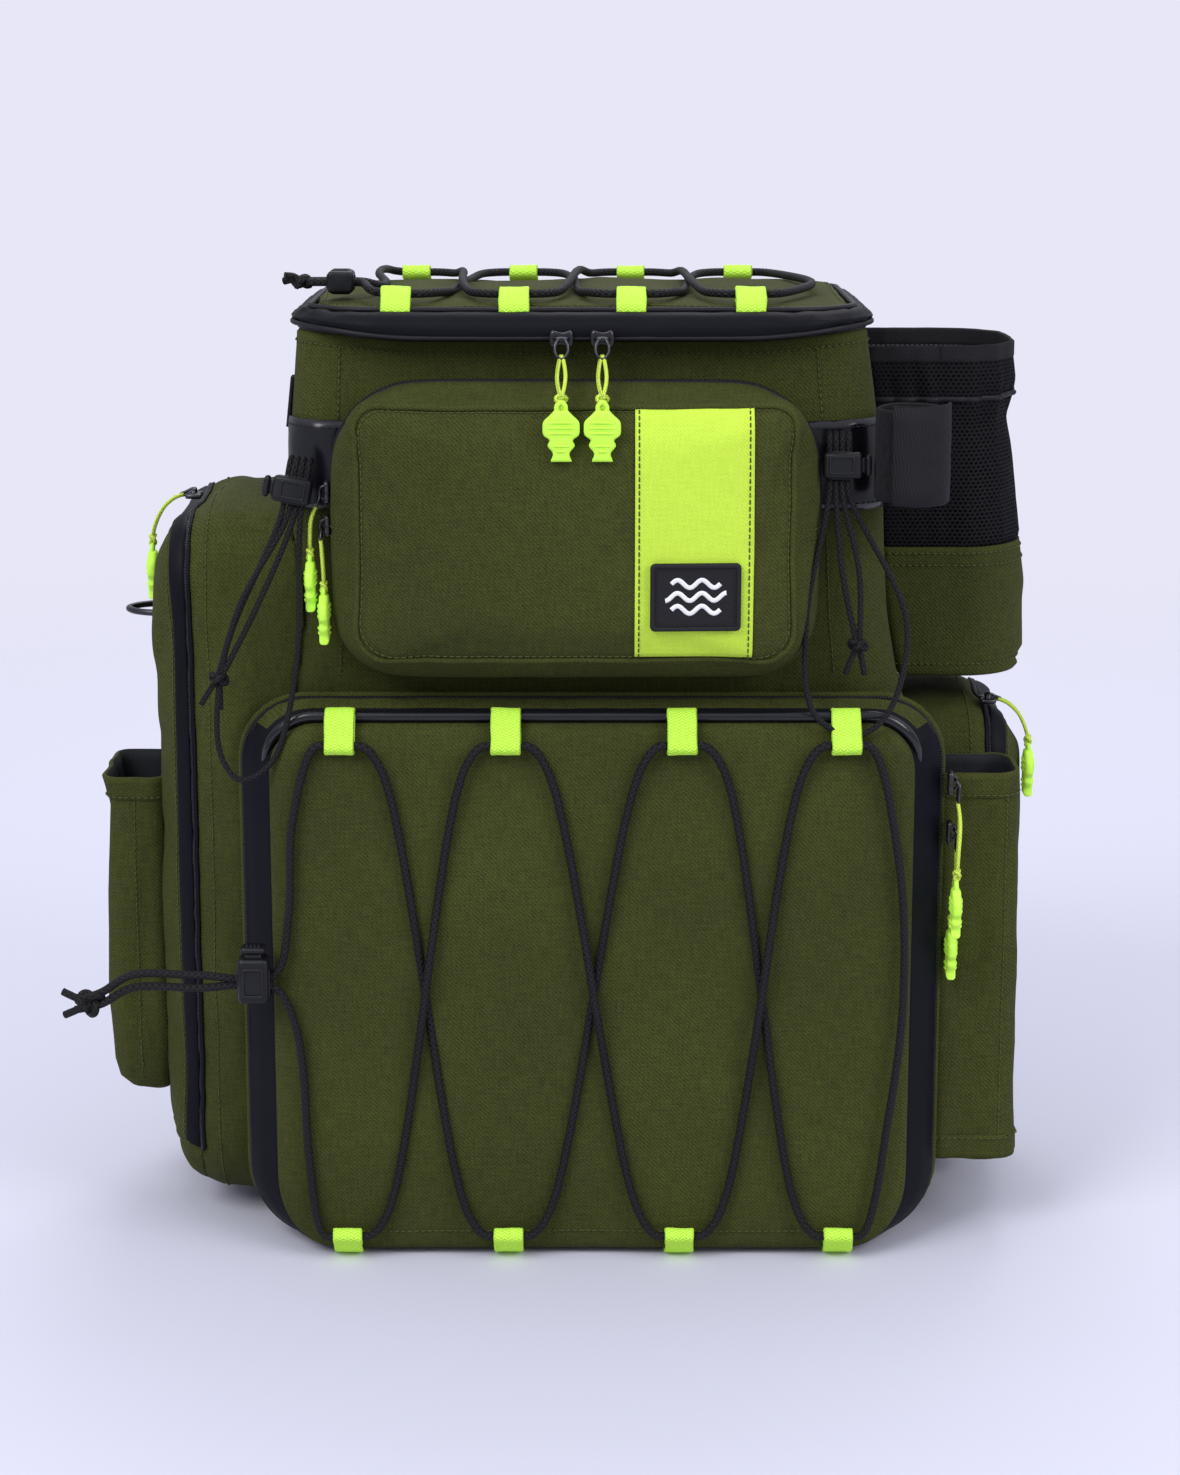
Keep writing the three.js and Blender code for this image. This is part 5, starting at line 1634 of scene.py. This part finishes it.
def turned(x, y, z):
    """Rows are the turned axes, for a turn about X, then the new Y, then the new Z, in degrees."""
    x, y, z = (math.radians(a) for a in (x, y, z))
    turn = Matrix.Rotation(x, 3, "X") @ Matrix.Rotation(y, 3, "Y") @ Matrix.Rotation(z, 3, "Z")
    return np.array(turn).T


door_lock_foot = box("door_cord_lock")[0][2]
cord_lock("door", TOP, (*node_middle("door_cord_lock")[:2], door_lock_foot + 8), 1.22)
cord_lock("lid", turned(-90, 0, 0) @ LID_AXES, LID_ORIGIN + np.array([*LID_LOCK, LID_LOCK_HEIGHT]) @ LID_AXES)


# ------------------------------------------------------------------ tool loops
def tool_loop(name, anchor, turn, left, right, bottom, tail, tail_set, button_turn):
    """Cord hung from the band through a lock: two strands make the loop, two the knotted tail."""
    axes = turned(*turn)

    def held(x):
        """A strand from where it's sewn into the band to below the lock."""
        return [(x, 5, 3), (x, 1, 1), (x, 0, -5), (x, 0, -26)]

    bow = [*held(-4.8), (left, 0, -0.62 * bottom), (left * 0.72, 0, -0.93 * bottom),
           ((left + right) / 2, 0, -bottom), (right * 0.72, 0, -0.93 * bottom), (right, 0, -0.62 * bottom),
           *held(4.8)[::-1]]
    shapes = [tube(spline(bow, 1.5), THIN_CORD, sides=10)]
    for x in (-1.6, 1.6):
        path = [*held(x), (tail_set * 0.6 + x * 2.6, -1, -0.65 * tail), (tail_set + x * 0.5, 0, -tail)]
        shapes.append(tube(spline(path, 1.5), THIN_CORD, sides=10))
    end = np.array([tail_set, 0, -tail], float)
    shapes.append(knot(end, 4.4, THIN_CORD))
    shapes += cut_ends(end, [(-0.5, -0.1, -0.9), (0.25, 0.1, -0.95)], THIN_CORD, 13)
    piece(f"{name}_loop_cord", lay(merged(shapes), axes, anchor), cord_finish, f"{name}_tool_loop",
          replaces=(f"{name}_tool_loop",), recalculate=False)
    centre = np.array(anchor) + np.array([0, 0, -13.0]) @ axes
    cord_lock(f"{name}_loop", turned(*button_turn) @ axes, centre)


tool_loop("left", (-145, -102.8, 411), (-8, 10, 0), -21, 15, 160, 112, -22, (0, -90, 0))
tool_loop("right", (122.4, -103.8, 424), (-8.5, 0, 0), -16, 34, 147, 102, 10, (180, 90, 0))


# ------------------------------------------------------------------ zip sliders and pulls
# Half the outline of a pull's grip, from its top down.
GRIP_HALF = [(3.2, 0), (5.4, -2.4), (8.6, -5.6), (9, -8.5), (8.6, -12), (5.6, -14.6), (6.6, -17.2),
             (4.0, -21), (5.2, -25)]


def grip_shape(flat_axes, top):
    """A soft moulded grip: broad shoulders, a ribbed waist and a flared foot, hanging from its top."""
    half = np.array(GRIP_HALF, float)
    both = np.vstack([spline(half, 0.8), spline(half[::-1] * [-1, 1], 0.8)])
    outline = resample(both, count=90, closed=True)
    middle = np.array([0, -12.0])
    rings = []
    for w, shrink in ((-2.3, 0.82), (-1.9, 0.93), (-1.0, 1), (1.0, 1), (1.9, 0.93), (2.3, 0.82)):
        rings.append(with_height(middle + (outline - middle) * [shrink, 0.5 + shrink / 2], w))
    body = closed_form(rings, -0.2, 0.2, 6)
    ribs = []
    for side in (-1, 1):
        for z in (-6, -8.6, -11.2, -17.4, -20):
            reach = np.interp(-z, -half[:, 1], half[:, 0]) - 2.4
            rib = [(-reach, z, side * 1.9), (-reach * 0.5, z + 0.3, side * 2.6),
                   (reach * 0.5, z + 0.3, side * 2.6), (reach, z, side * 1.9)]
            ribs.append(tube(spline(rib, 0.8), 0.65, sides=8))
    ear = [(-1.9, -1.5, 0), (-2.1, 2.0, 0), (0, 3.9, 0), (2.1, 2.0, 0), (1.9, -1.5, 0)]
    return lay(merged([body, *ribs, tube(spline(ear, 0.6), 1.15, sides=8)]), flat_axes, top)


def pull_shapes(path, edge_on=False, spread=1.9):
    """Cord looped through the slider's link: two strands that meet in a knot above the grip."""
    line = spline(path, 1.2)
    side = np.array([0, 1.0, 0]) if edge_on else np.array([1.0, 0, 0])
    t = np.linspace(0, 1, len(line))
    gap = spread * np.sin(np.pi * np.clip(t * 1.25, 0, 1)) ** 0.7 + 0.15
    strands = [tube(line + side * (gap * k)[:, None], 1.0, sides=8) for k in (-1, 1)]
    near = line[int(len(line) * 0.84)]
    axes = RIGHT if edge_on else FRONT
    return [*strands, knot(near, 2.9, 0.95, axes)], grip_shape(axes, line[-1])


def slider_shape(axes, centre, length, width):
    """A cast slider: a waisted plate over the teeth and an arched bridge. v runs along the zip."""
    corners = np.array([(-1, -1), (1, -1), (0.84, 0), (1, 1), (-1, 1), (-0.84, 0)])
    outline = spline(corners * [width / 2, length / 2], 0.6, closed=True)
    outline = resample(outline, count=60, closed=True)
    profile = ((-1.4, 0.8), (-1.1, 0.95), (-0.4, 1), (0.7, 1), (1.2, 0.9))
    rings = [with_height(outline * k, w) for w, k in profile]
    plate = closed_form(rings, 0, 0.2, 5)
    arch = spline([(0, -length * 0.36, 0.8), (0, -length * 0.25, 2.9), (0, 0, 3.6), (0, length * 0.25, 2.9),
                   (0, length * 0.36, 0.8)], 0.6)
    bridge = ribbon(arch, np.cross([1.0, 0, 0], tangents(arch, False)), 2.6, 1.1)
    return lay(merged([plate, bridge]), axes, centre)


def link_shape(points, radius=0.85):
    """A closed wire link through a few points."""
    return tube(spline(points, 0.8, closed=True), radius, closed=True, sides=8)


def pull_pieces(name, ring, path, edge_on=False):
    """A pull that is a body of its own: link, cord and grip."""
    cords, grip = pull_shapes(path, edge_on)
    piece(f"{name}_link", link_shape(ring), metal, name)
    piece(f"{name}_cord", merged(cords), pull_cord, name, recalculate=False)
    piece(f"{name}_grip", grip, neon_plastic, name, replaces=(name,))


def lid_pulls():
    link = ((0, 1.4, 3.6), (-2.6, -0.8, 1.8), (-3.0, -2.4, -3.4), (0, -3.0, -6.2), (3.0, -2.4, -3.4),
            (2.6, -0.8, 1.8))
    hanging = ((-113.2, 466.4), (-118, 460.6), (-126.4, 455.6), (-134.6, 449.5), (-137.4, 443))
    for side in ("left", "right"):
        name = f"lid_slider_{side}"
        x, y, z = node_middle(name)
        slider = slider_shape(DOWN_FRONT, (x, y - 0.4, z), 10, 7.5)
        piece(f"{name}_body", slider, metal, name, replaces=(name,))
        top = np.array([x, box(name)[0][1] - 2.6, z - 3])
        pull_pieces(f"lid_pull_{side}", [top + d for d in link], [(x, *point) for point in hanging])


lid_pulls()


def door_pulls():
    paths = {
        "upper": [(185.8, -101.6, 238), (186.6, -106, 229), (185.4, -113, 214), (184.6, -114.4, 196)],
        "lower": [(185.8, -99.4, 212), (186.2, -98.6, 203), (184.8, -98.4, 187), (184.4, -98.4, 169)],
    }
    for side, path in paths.items():
        name = f"door_slider_{side}"
        centre = node_middle(name)
        slider = slider_shape(RIGHT, centre + [0.4, 0, 0], 11, 8)
        piece(f"{name}_body", slider, metal, name, replaces=(name,))
        eye = centre + [4.4, 0, 0]
        foot = np.array(path[0]) + [0.2, 0, 0]
        ring = [eye + [-1.4, 0, 1.5], eye + [0.4, -2.6, -1], foot + [0, -2.4, 3], foot + [0, 0, -1],
                foot + [0, 2.4, 3], eye + [0.4, 2.6, -1]]
        pull_pieces(f"door_pull_{side}", ring, path, edge_on=True)


door_pulls()


def one_piece_slider(name, slider_axes, centre, path, length, width):
    """A slider with its link, cord and grip all on one body."""
    foot = np.array(path[0], float)
    centre = np.array(centre, float)
    out = slider_axes[2]
    side = slider_axes[0]
    eye = centre + out * 2.6
    hang = foot - eye
    ring = [eye + out * 0.9, eye + side * 2.2 + hang * 0.4, foot + side * 1.8, foot - out * 0.2 + hang * 0.2,
            foot - side * 1.8, eye - side * 2.2 + hang * 0.4]
    body = slider_shape(slider_axes, centre, length, width)
    piece(f"{name}_body", merged([body, link_shape(ring, 0.75)]), metal, name)
    cords, grip = pull_shapes(path, edge_on=True, spread=1.5)
    piece(f"{name}_cord", merged(cords), pull_cord, name, recalculate=False)
    piece(f"{name}_grip", grip, neon_plastic, name, replaces=(name,))


def pocket_sliders():
    upper = [(-136.8, -102, 391), (-139.6, -103, 384), (-140.4, -104, 374), (-140.4, -105, 363)]
    lower = [(-135, -105, 374.5), (-134.2, -107.6, 367), (-133.6, -108.6, 356), (-133.6, -108.6, 347)]
    for label, z, path in (("upper", 397, upper), ("lower", 380, lower)):
        one_piece_slider(f"front_pocket_slider_{label}", LEFT, (-131.8, -101, z), path, 10, 6.5)
    for label, sign, drop in (("left", -1, 29), ("right", 1, 27)):
        gusset_lo, gusset_hi = box(f"{label}_pocket_gusset")
        edge = max(abs(gusset_lo[0]), abs(gusset_hi[0]))
        y = node_middle(f"{label}_pocket_slider")[1]
        path = [(sign * (edge + dx), y, gusset_hi[2] + dz)
                for dx, dz in ((6, 0.6), (11, -1.4), (17, -7), (22, -18), (23, -drop))]
        centre = (sign * (edge + 0.5), y, gusset_hi[2] + 0.2)
        axes = np.array([[sign, 0, 0], [0, sign, 0], [0, 0, 1]])
        one_piece_slider(f"{label}_pocket_slider", axes, centre, path, 11, 8)


pocket_sliders()


# ------------------------------------------------------------------ back and harness
def make_back():
    lo, hi = box("back_pad")
    skin = BACK_Y + 0.4
    profile = [(skin - 0.2, 1), (skin + 1, 0), (skin + 2.4, 0.6), (skin + 3, 3)]
    plate = cushion((-60, 60, 56, 388), 12, profile, crown=0.6)
    panel = piece("back_channel", lay(plate, REAR), air_mesh, "root")
    rumple(panel, 0.4, 26, 90)
    inwards = (0, -1, 0)
    seams = []
    for label, x0, x1 in (("left", lo[0], -16), ("right", 16, hi[0])):
        rect = (-x1, -x0, lo[2], hi[2])
        profile = [(skin, 1.5), (skin + 2, 0.6), (skin + 6, 0.6), (skin + 10, 3), (skin + 12.6, 8),
                   (skin + 13.6, 14)]
        pad = piece(f"back_pad_{label}", lay(cushion(rect, 24, profile, crown=0.6), REAR), air_mesh, "root",
                    replaces=("back_pad",) if label == "left" else ())
        inflate(pad, 5.0, pinned=lambda p: p[:, 1] < skin + 1.5, voxel=5.5)
        for number, z in enumerate((132, 222, 312)):
            groove = [(x, skin + 16, z + 10 * math.cos((x - x0) / (x1 - x0) * math.pi - math.pi / 2))
                      for x in np.linspace(x0 + 2, x1 - 2, 60)]
            path, _ = hug(groove, pad, direction=inwards)
            seam_pull(pad, path, 12, 4.2, 1.0, 9, 91 + number)
            path, ups = hug(groove, pad, lift=0.1, direction=inwards)
            seams.append(stitching(path[2:-2], ups[2:-2]))
        rumple(pad, 0.8, 24, 95)
        edge = lay((with_height(rounded(rect, 24, 0.2, 300), skin + 1.5), []), REAR)[0]
        path, _ = hug(edge, pad, lift=0.3)
        piece(f"back_pad_piping_{label}", tube(path, 1.5, closed=True, sides=8), black_trim, "root")
    sewn("back_pad_stitching", seams, "root", black_thread)


make_back()


def strap_line():
    """The left and right straps' common side view (y, z), from the yoke over the top and down."""
    line = [(103, 432), (114, 447), (132, 447), (150, 425), (161, 380), (163, 320), (158, 255), (147, 195),
            (133, 145)]
    return spline(line, 4.0)


STRAP_WIDTH = 54.0


def strap_frame(sign):
    """A strap's middle line, its widths, and the directions along, across and out of it at each point."""
    line = strap_line()
    t = smooth(440 - line[:, 1], 60, 260)
    path = np.column_stack([sign * (70 + 22 * t), line])
    width = STRAP_WIDTH * (1 - 0.35 * t)
    along = tangents(path, False)
    out = np.cross(along, [1.0, 0, 0])
    out = unit(out * np.sign(np.sum(out * [0, 1, 0.4], axis=1, keepdims=True)))
    return path, width, along, np.cross(along, out), out


def shrunk(ring, scale):
    centre = ring.mean(axis=0)
    return centre + (ring - centre) * scale


def shoulder_pad(label, sign, path, width, side, out):
    """The padded part, with its bound edges, the webbing on it and the rows that hold it."""
    body = f"{label}_strap"
    half = STRAP_WIDTH / 2
    section = [(-half, 0), (-half + 2, -2.6), (-half + 8, -4.6), (0, -5.3), (half - 8, -4.6),
               (half - 2, -2.6), (half, 0), (half - 2, 2.4), (half - 8, 4.2), (0, 4.9), (-half + 8, 4.2),
               (-half + 2, 2.4)]
    section = resample(spline(section, 2.0, closed=True), count=44, closed=True)
    rings = [p + section[:, :1] * s * (w / STRAP_WIDTH) + section[:, 1:] * n
             for p, s, n, w in zip(path, side, out, width)]
    caps = [shrunk(rings[0], k) for k in (0.5, 0.9)]
    tips = [shrunk(rings[-1], k) for k in (0.9, 0.5)]
    skin = through([*caps, *rings, *tips], start=True, end=True)
    pad = piece(f"{label}_shoulder_pad", skin, air_mesh, body, replaces=(f"{label}_shoulder_strap",))
    rumple(pad, 0.9, (22, 30, 26), 101 + sign)
    edges = [ribbon(path + side * (width / 2 * k)[:, None], side * k, 8, 1.2) for k in (-1, 1)]
    piece(f"{label}_strap_binding", merged(edges), black_web, body)
    kept = slice(5, -1)
    strip = hug(path + out * 12, pad, lift=1.0)[0][kept]
    side, out = side[kept], out[kept]
    piece(f"{label}_strap_webbing", ribbon(strip, out, 25, 1.4), black_web, body)
    rows = [stitching(strip + side * (10.6 * k) + out * 0.7, out) for k in (-1, 1)]
    for i in (3, len(strip) // 3, 2 * len(strip) // 3):
        bar = [strip[i] + side[i] * x + out[i] * 0.8 for x in np.linspace(-9, 9, 8)]
        rows.append(stitching(bar, out[i], 1.4, 1.8, 0.5))
    sewn(f"{label}_strap_stitching", rows, body, black_thread)


def rearward(path):
    """Normals of a strap that hangs down the back."""
    flat = unit(np.cross(tangents(path, False), [1.0, 0, 0]))
    return flat * np.sign(flat[:, 1:2] + 1e-6)


def strap_foot(label, sign, tip, down, across, face):
    """The ladder lock at a strap's tip, the webbing from it to the base, and its loose tail."""
    body = f"{label}_strap"
    profile = [(-1.6, 0.2), (-2.0, 1), (-2, 3), (-1, 4), (1.2, 4), (2, 3), (2, 1), (1.6, 0.2)]
    lock = [border((-15, 15, -22, 2), 3.5, profile)]
    for v in (-13.5, -6.5):
        lock.append(tube([(x, v, 0) for x in np.linspace(-13, 13, 8)], 1.7, sides=10))
    axes = np.array([across, -down, face])
    piece(f"{label}_ladder_lock", lay(merged(lock), axes, tip + face), plastic, body)

    start = tip + down * 14 + face
    foot = np.array([sign * 140, 98, 28.0])
    run = spline([tip + down * 4 + face * 3.4, start + face * 2.2, start + down * 10,
                  (start * 2 + foot) / 3 + [0, 2, 0], (start + foot * 2) / 3 + [0, 1, 0], foot,
                  foot + [sign * 1.5, -3.5, -3]], 3.0)
    web = piece(f"{label}_lower_strap", ribbon(run, rearward(run), 25, 1.5), black_web, None,
                replaces=(f"{label}_lower_webbing",))
    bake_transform(web)
    tail = spline([tip + down * 12 + face * 3.2, tip + down * 26 + face * 8,
                   tip + down * 48 + face * 9 + [0, 0, -2], tip + down * 70 + face * 7 + [0, 0, -4]], 3.0)
    piece(f"{label}_strap_tail", ribbon(tail, rearward(tail), 24, 1.4), black_web, body)
    anchor = cushion((-17, 17, -15, 15), 3, [(0, 0.6), (0.8, 0), (1.8, 0), (2.4, 0.8)], crown=0.1)
    place = foot * [1, 0, 1] + [-sign * 6, BACK_Y + 0.2, -2]
    piece(f"{label}_strap_anchor", lay(anchor, REAR, place), olive, "root")


def shoulder_strap(label, sign):
    path, width, along, side, out = strap_frame(sign)
    shoulder_pad(label, sign, path, width, side, out)
    yoke = spline([path[0] + shift for shift in ([0, -6, -16], [0, -5.6, -8], [0, -3, 0], [0, 3, 8])], 1.5)
    flat = unit(np.cross(tangents(yoke, False), [1.0, 0, 0]))
    piece(f"{label}_strap_yoke", ribbon(yoke, flat, 46, 2.4), olive, "root")
    strap_foot(label, sign, path[-1], along[-1], side[-1], out[-1])


shoulder_strap("left", -1)
shoulder_strap("right", 1)


def make_sternum():
    _, y, z = node_middle("sternum_socket")
    socket_end = box("sternum_socket")[0][0]
    plug_end = box("sternum_plug")[1][0]
    for label, x0, x1, sign, body in (("socket", socket_end, -16, -1, "left_strap"),
                                      ("plug", 24, plug_end, 1, "sternum_plug")):
        path = spline([(x, y, z) for x in np.linspace(x0, x1, 6)], 3.0)
        band = piece(f"sternum_{label}_webbing", ribbon(path, [0, 1, 0], 20, 1.6), black_web, body)
        rumple(band, 0.4, 20, 111)
        end = x0 if sign < 0 else x1
        fold = spline([(end + sign * 1.5, y - 3, z), (end + sign * 2.5, y, z), (end, y + 2.2, z),
                       (end - sign * 12, y + 2, z)], 1.2)
        flat = unit(np.cross(tangents(fold, False), [0, 0, 1.0]))
        piece(f"sternum_{label}_keeper", ribbon(fold, flat, 20.5, 1.3), black_web, body)
    thick = 4.0
    shell = [(-thick, 2.2), (-thick + 0.8, 0.8), (-1.6, 0), (1.6, 0), (thick - 0.8, 0.8), (thick, 2.2)]

    def hollow(rect, radii, wall):
        return border(rect, radii, [*shell, (thick - 0.6, wall), (-thick + 0.6, wall)])

    socket = hollow((-22, 14, z - 15, z + 15), (5, 3, 3, 5), 6)
    ridge = [tube([(x, z - 8, thick - 0.2), (x, z + 8, thick - 0.2)], 0.7, sides=8) for x in (-18, -15.5)]
    piece("sternum_socket_buckle", lay(merged([socket, *ridge]), BACKWARDS, (0, y, 0)), plastic, "left_strap",
          replaces=("sternum_socket",))
    yoke = hollow((15, 30, z - 13, z + 13), 3, 4)
    prongs = []
    for s in (-1, 1):
        prong = [(16, z + s * 8.5, 0), (6, z + s * 8, 0), (-2, z + s * 8.4, 0), (-6, z + s * 6, 0)]
        line = spline(prong, 1.0)
        prongs.append(sweep(line, ellipse(2.0, 1.5, 10), [0, 0, 1]))
    prongs.append(sweep(spline([(16, z, 0), (4, z, 0), (-2, z, 0)], 1.0), ellipse(1.6, 1.4, 10), [0, 0, 1]))
    piece("sternum_plug_buckle", lay(merged([yoke, *prongs]), BACKWARDS, (0, y, 0)), plastic, "sternum_plug",
          replaces=("sternum_plug",))


make_sternum()


def make_haul_handle():
    foot = box("haul_handle")[0][2] + 1
    y = node_middle("haul_handle")[1]
    arch = [(-36, foot), (-36, 432), (-30, 441.5), (-15, 446.5), (15, 446.5), (30, 441.5), (36, 432),
            (36, foot)]
    path = spline([(x, y, z) for x, z in arch], 1.6)
    piece("haul_handle_loop", sweep(path, ellipse(4.4, 2.6, 16), [0, 1, 0]), black_web, "haul_handle",
          replaces=("haul_handle",))
    band = cushion((-52, 52, 406, 422), 2, [(0, 0.5), (0.6, 0), (1.8, 0), (2.2, 0.6)], crown=0.1)
    piece("haul_handle_anchor", lay(band, REAR, (0, BACK_Y + 0.2, 0)), olive, "root")
    rows = []
    for z in (408.5, 419.5):
        rows.append(stitching([(x, BACK_Y + 2.5, z) for x in np.linspace(-49, 49, 20)], [0, 1, 0]))
    sewn("haul_handle_stitching", rows, "root")


make_haul_handle()


def make_side_tab():
    heights = np.linspace(BODY_TOP - 43, BODY_TOP - 18, 10)
    spot = [(np.interp(z, *left_profile) - 1.2, -62, z) for z in heights]
    piece("side_tab", ribbon(spot, [-1, 0, 0], 12, 2.2), black_web, "root")


make_side_tab()


# ------------------------------------------------------------------ fabric hinges
def fabric_hinge(name, start, end, width, finish):
    """A straight strip of cloth that joins a body to the bag."""
    start, end = np.array(start), np.array(end)
    path = spline([start, (start + end) / 2, end], 1.5)
    normal = np.cross(unit(end - start), [1.0, 0, 0])
    strip = piece(name, ribbon(path, normal, width, 1.0), finish, None)
    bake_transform(strip)


fabric_hinge("lid_hinge", (-2.0, 97.2, 450.0), (-2.0, 97.2, 473.0), 214, lining)
fabric_hinge("door_hinge", (0.0, -95.0, 2.4), (0.0, -113.0, 2.4), 236, olive)


# ------------------------------------------------------------------ studio
BACKDROP = (0.80, 0.80, 0.93, 1)
SKY_LOW, SKY_HIGH = 0.45, 1.0  # the sky's strength near the horizon and overhead


PAPER_RADIUS = 1.9  # metres at which the paper has faded out
SOFTBOXES = [((-1.5, -1.9, 2.3), 1.5, 50), ((1.9, -1.5, 1.6), 1.2, 26), ((0.2, 1.6, 2.4), 1.5, 24)]
LIT_POINT = (0, 0, 0.25)
CAMERA_PLACE = (-0.001, -1.773, 0.673)
CAMERA_TILT = 76.5
CAMERA_LENS = 83


def make_floor_paper():
    """Paper that fades into the backdrop away from the bag, so that there's no horizon."""
    bpy.ops.mesh.primitive_plane_add(size=12)
    floor = bpy.context.object
    floor.name = "studio_floor"
    finish = Finish("studio_paper", "lining", roughness=1.0, gloss=0.0, base_color=(0.62, 0.62, 0.71, 1))
    x, y, _ = finish.split(finish.place())
    far = finish.math("SQRT", finish.plus(finish.times(x, x), finish.times(y, y)))
    fade = finish.times(finish.math("SUBTRACT", PAPER_RADIUS, far), 0.8)
    finish.set(alpha=finish.math("MINIMUM", finish.math("MAXIMUM", fade, 0.0), 1.0))
    floor.data.materials.append(finish.material)


def make_world():
    """The camera sees the plain backdrop; the bag is lit by a softer sky that is brightest overhead."""
    world = bpy.data.worlds.new("studio")
    bpy.context.scene.world = world
    world.use_nodes = True
    tree = world.node_tree
    seen = tree.nodes["Background"]
    seen.inputs["Color"].default_value = BACKDROP
    sky = tree.nodes.new("ShaderNodeBackground")
    sky.inputs["Color"].default_value = (0.85, 0.87, 1.0, 1)
    direction = tree.nodes.new("ShaderNodeTexCoord")
    split = tree.nodes.new("ShaderNodeSeparateXYZ")
    height = tree.nodes.new("ShaderNodeMapRange")
    height.inputs["From Min"].default_value = -0.1
    height.inputs["To Min"].default_value = SKY_LOW
    height.inputs["To Max"].default_value = SKY_HIGH
    path = tree.nodes.new("ShaderNodeLightPath")
    mix = tree.nodes.new("ShaderNodeMixShader")
    tree.links.new(direction.outputs["Generated"], split.inputs[0])
    tree.links.new(split.outputs["Z"], height.inputs["Value"])
    tree.links.new(height.outputs[0], sky.inputs["Strength"])
    tree.links.new(path.outputs["Is Camera Ray"], mix.inputs[0])
    tree.links.new(sky.outputs[0], mix.inputs[1])
    tree.links.new(seen.outputs[0], mix.inputs[2])
    tree.links.new(mix.outputs[0], tree.nodes["World Output"].inputs["Surface"])


def make_studio():
    make_floor_paper()
    make_world()
    for number, (place, size, power) in enumerate(SOFTBOXES):
        light = bpy.data.lights.new(f"softbox_{number}", "AREA")
        light.size = size
        light.energy = power
        lamp = bpy.data.objects.new(f"softbox_{number}", light)
        lamp.location = place
        lamp.rotation_euler = (Vector(LIT_POINT) - Vector(place)).to_track_quat("-Z", "Y").to_euler()
        bpy.context.scene.collection.objects.link(lamp)
    camera = bpy.data.cameras.new("camera")
    camera.sensor_width = 36
    camera.lens = CAMERA_LENS
    rig = bpy.data.objects.new("camera", camera)
    rig.location = CAMERA_PLACE
    rig.rotation_euler = (math.radians(CAMERA_TILT), 0, 0)
    bpy.context.scene.collection.objects.link(rig)
    bpy.context.scene.camera = rig
    bpy.context.scene.view_settings.view_transform = "Standard"


make_studio()
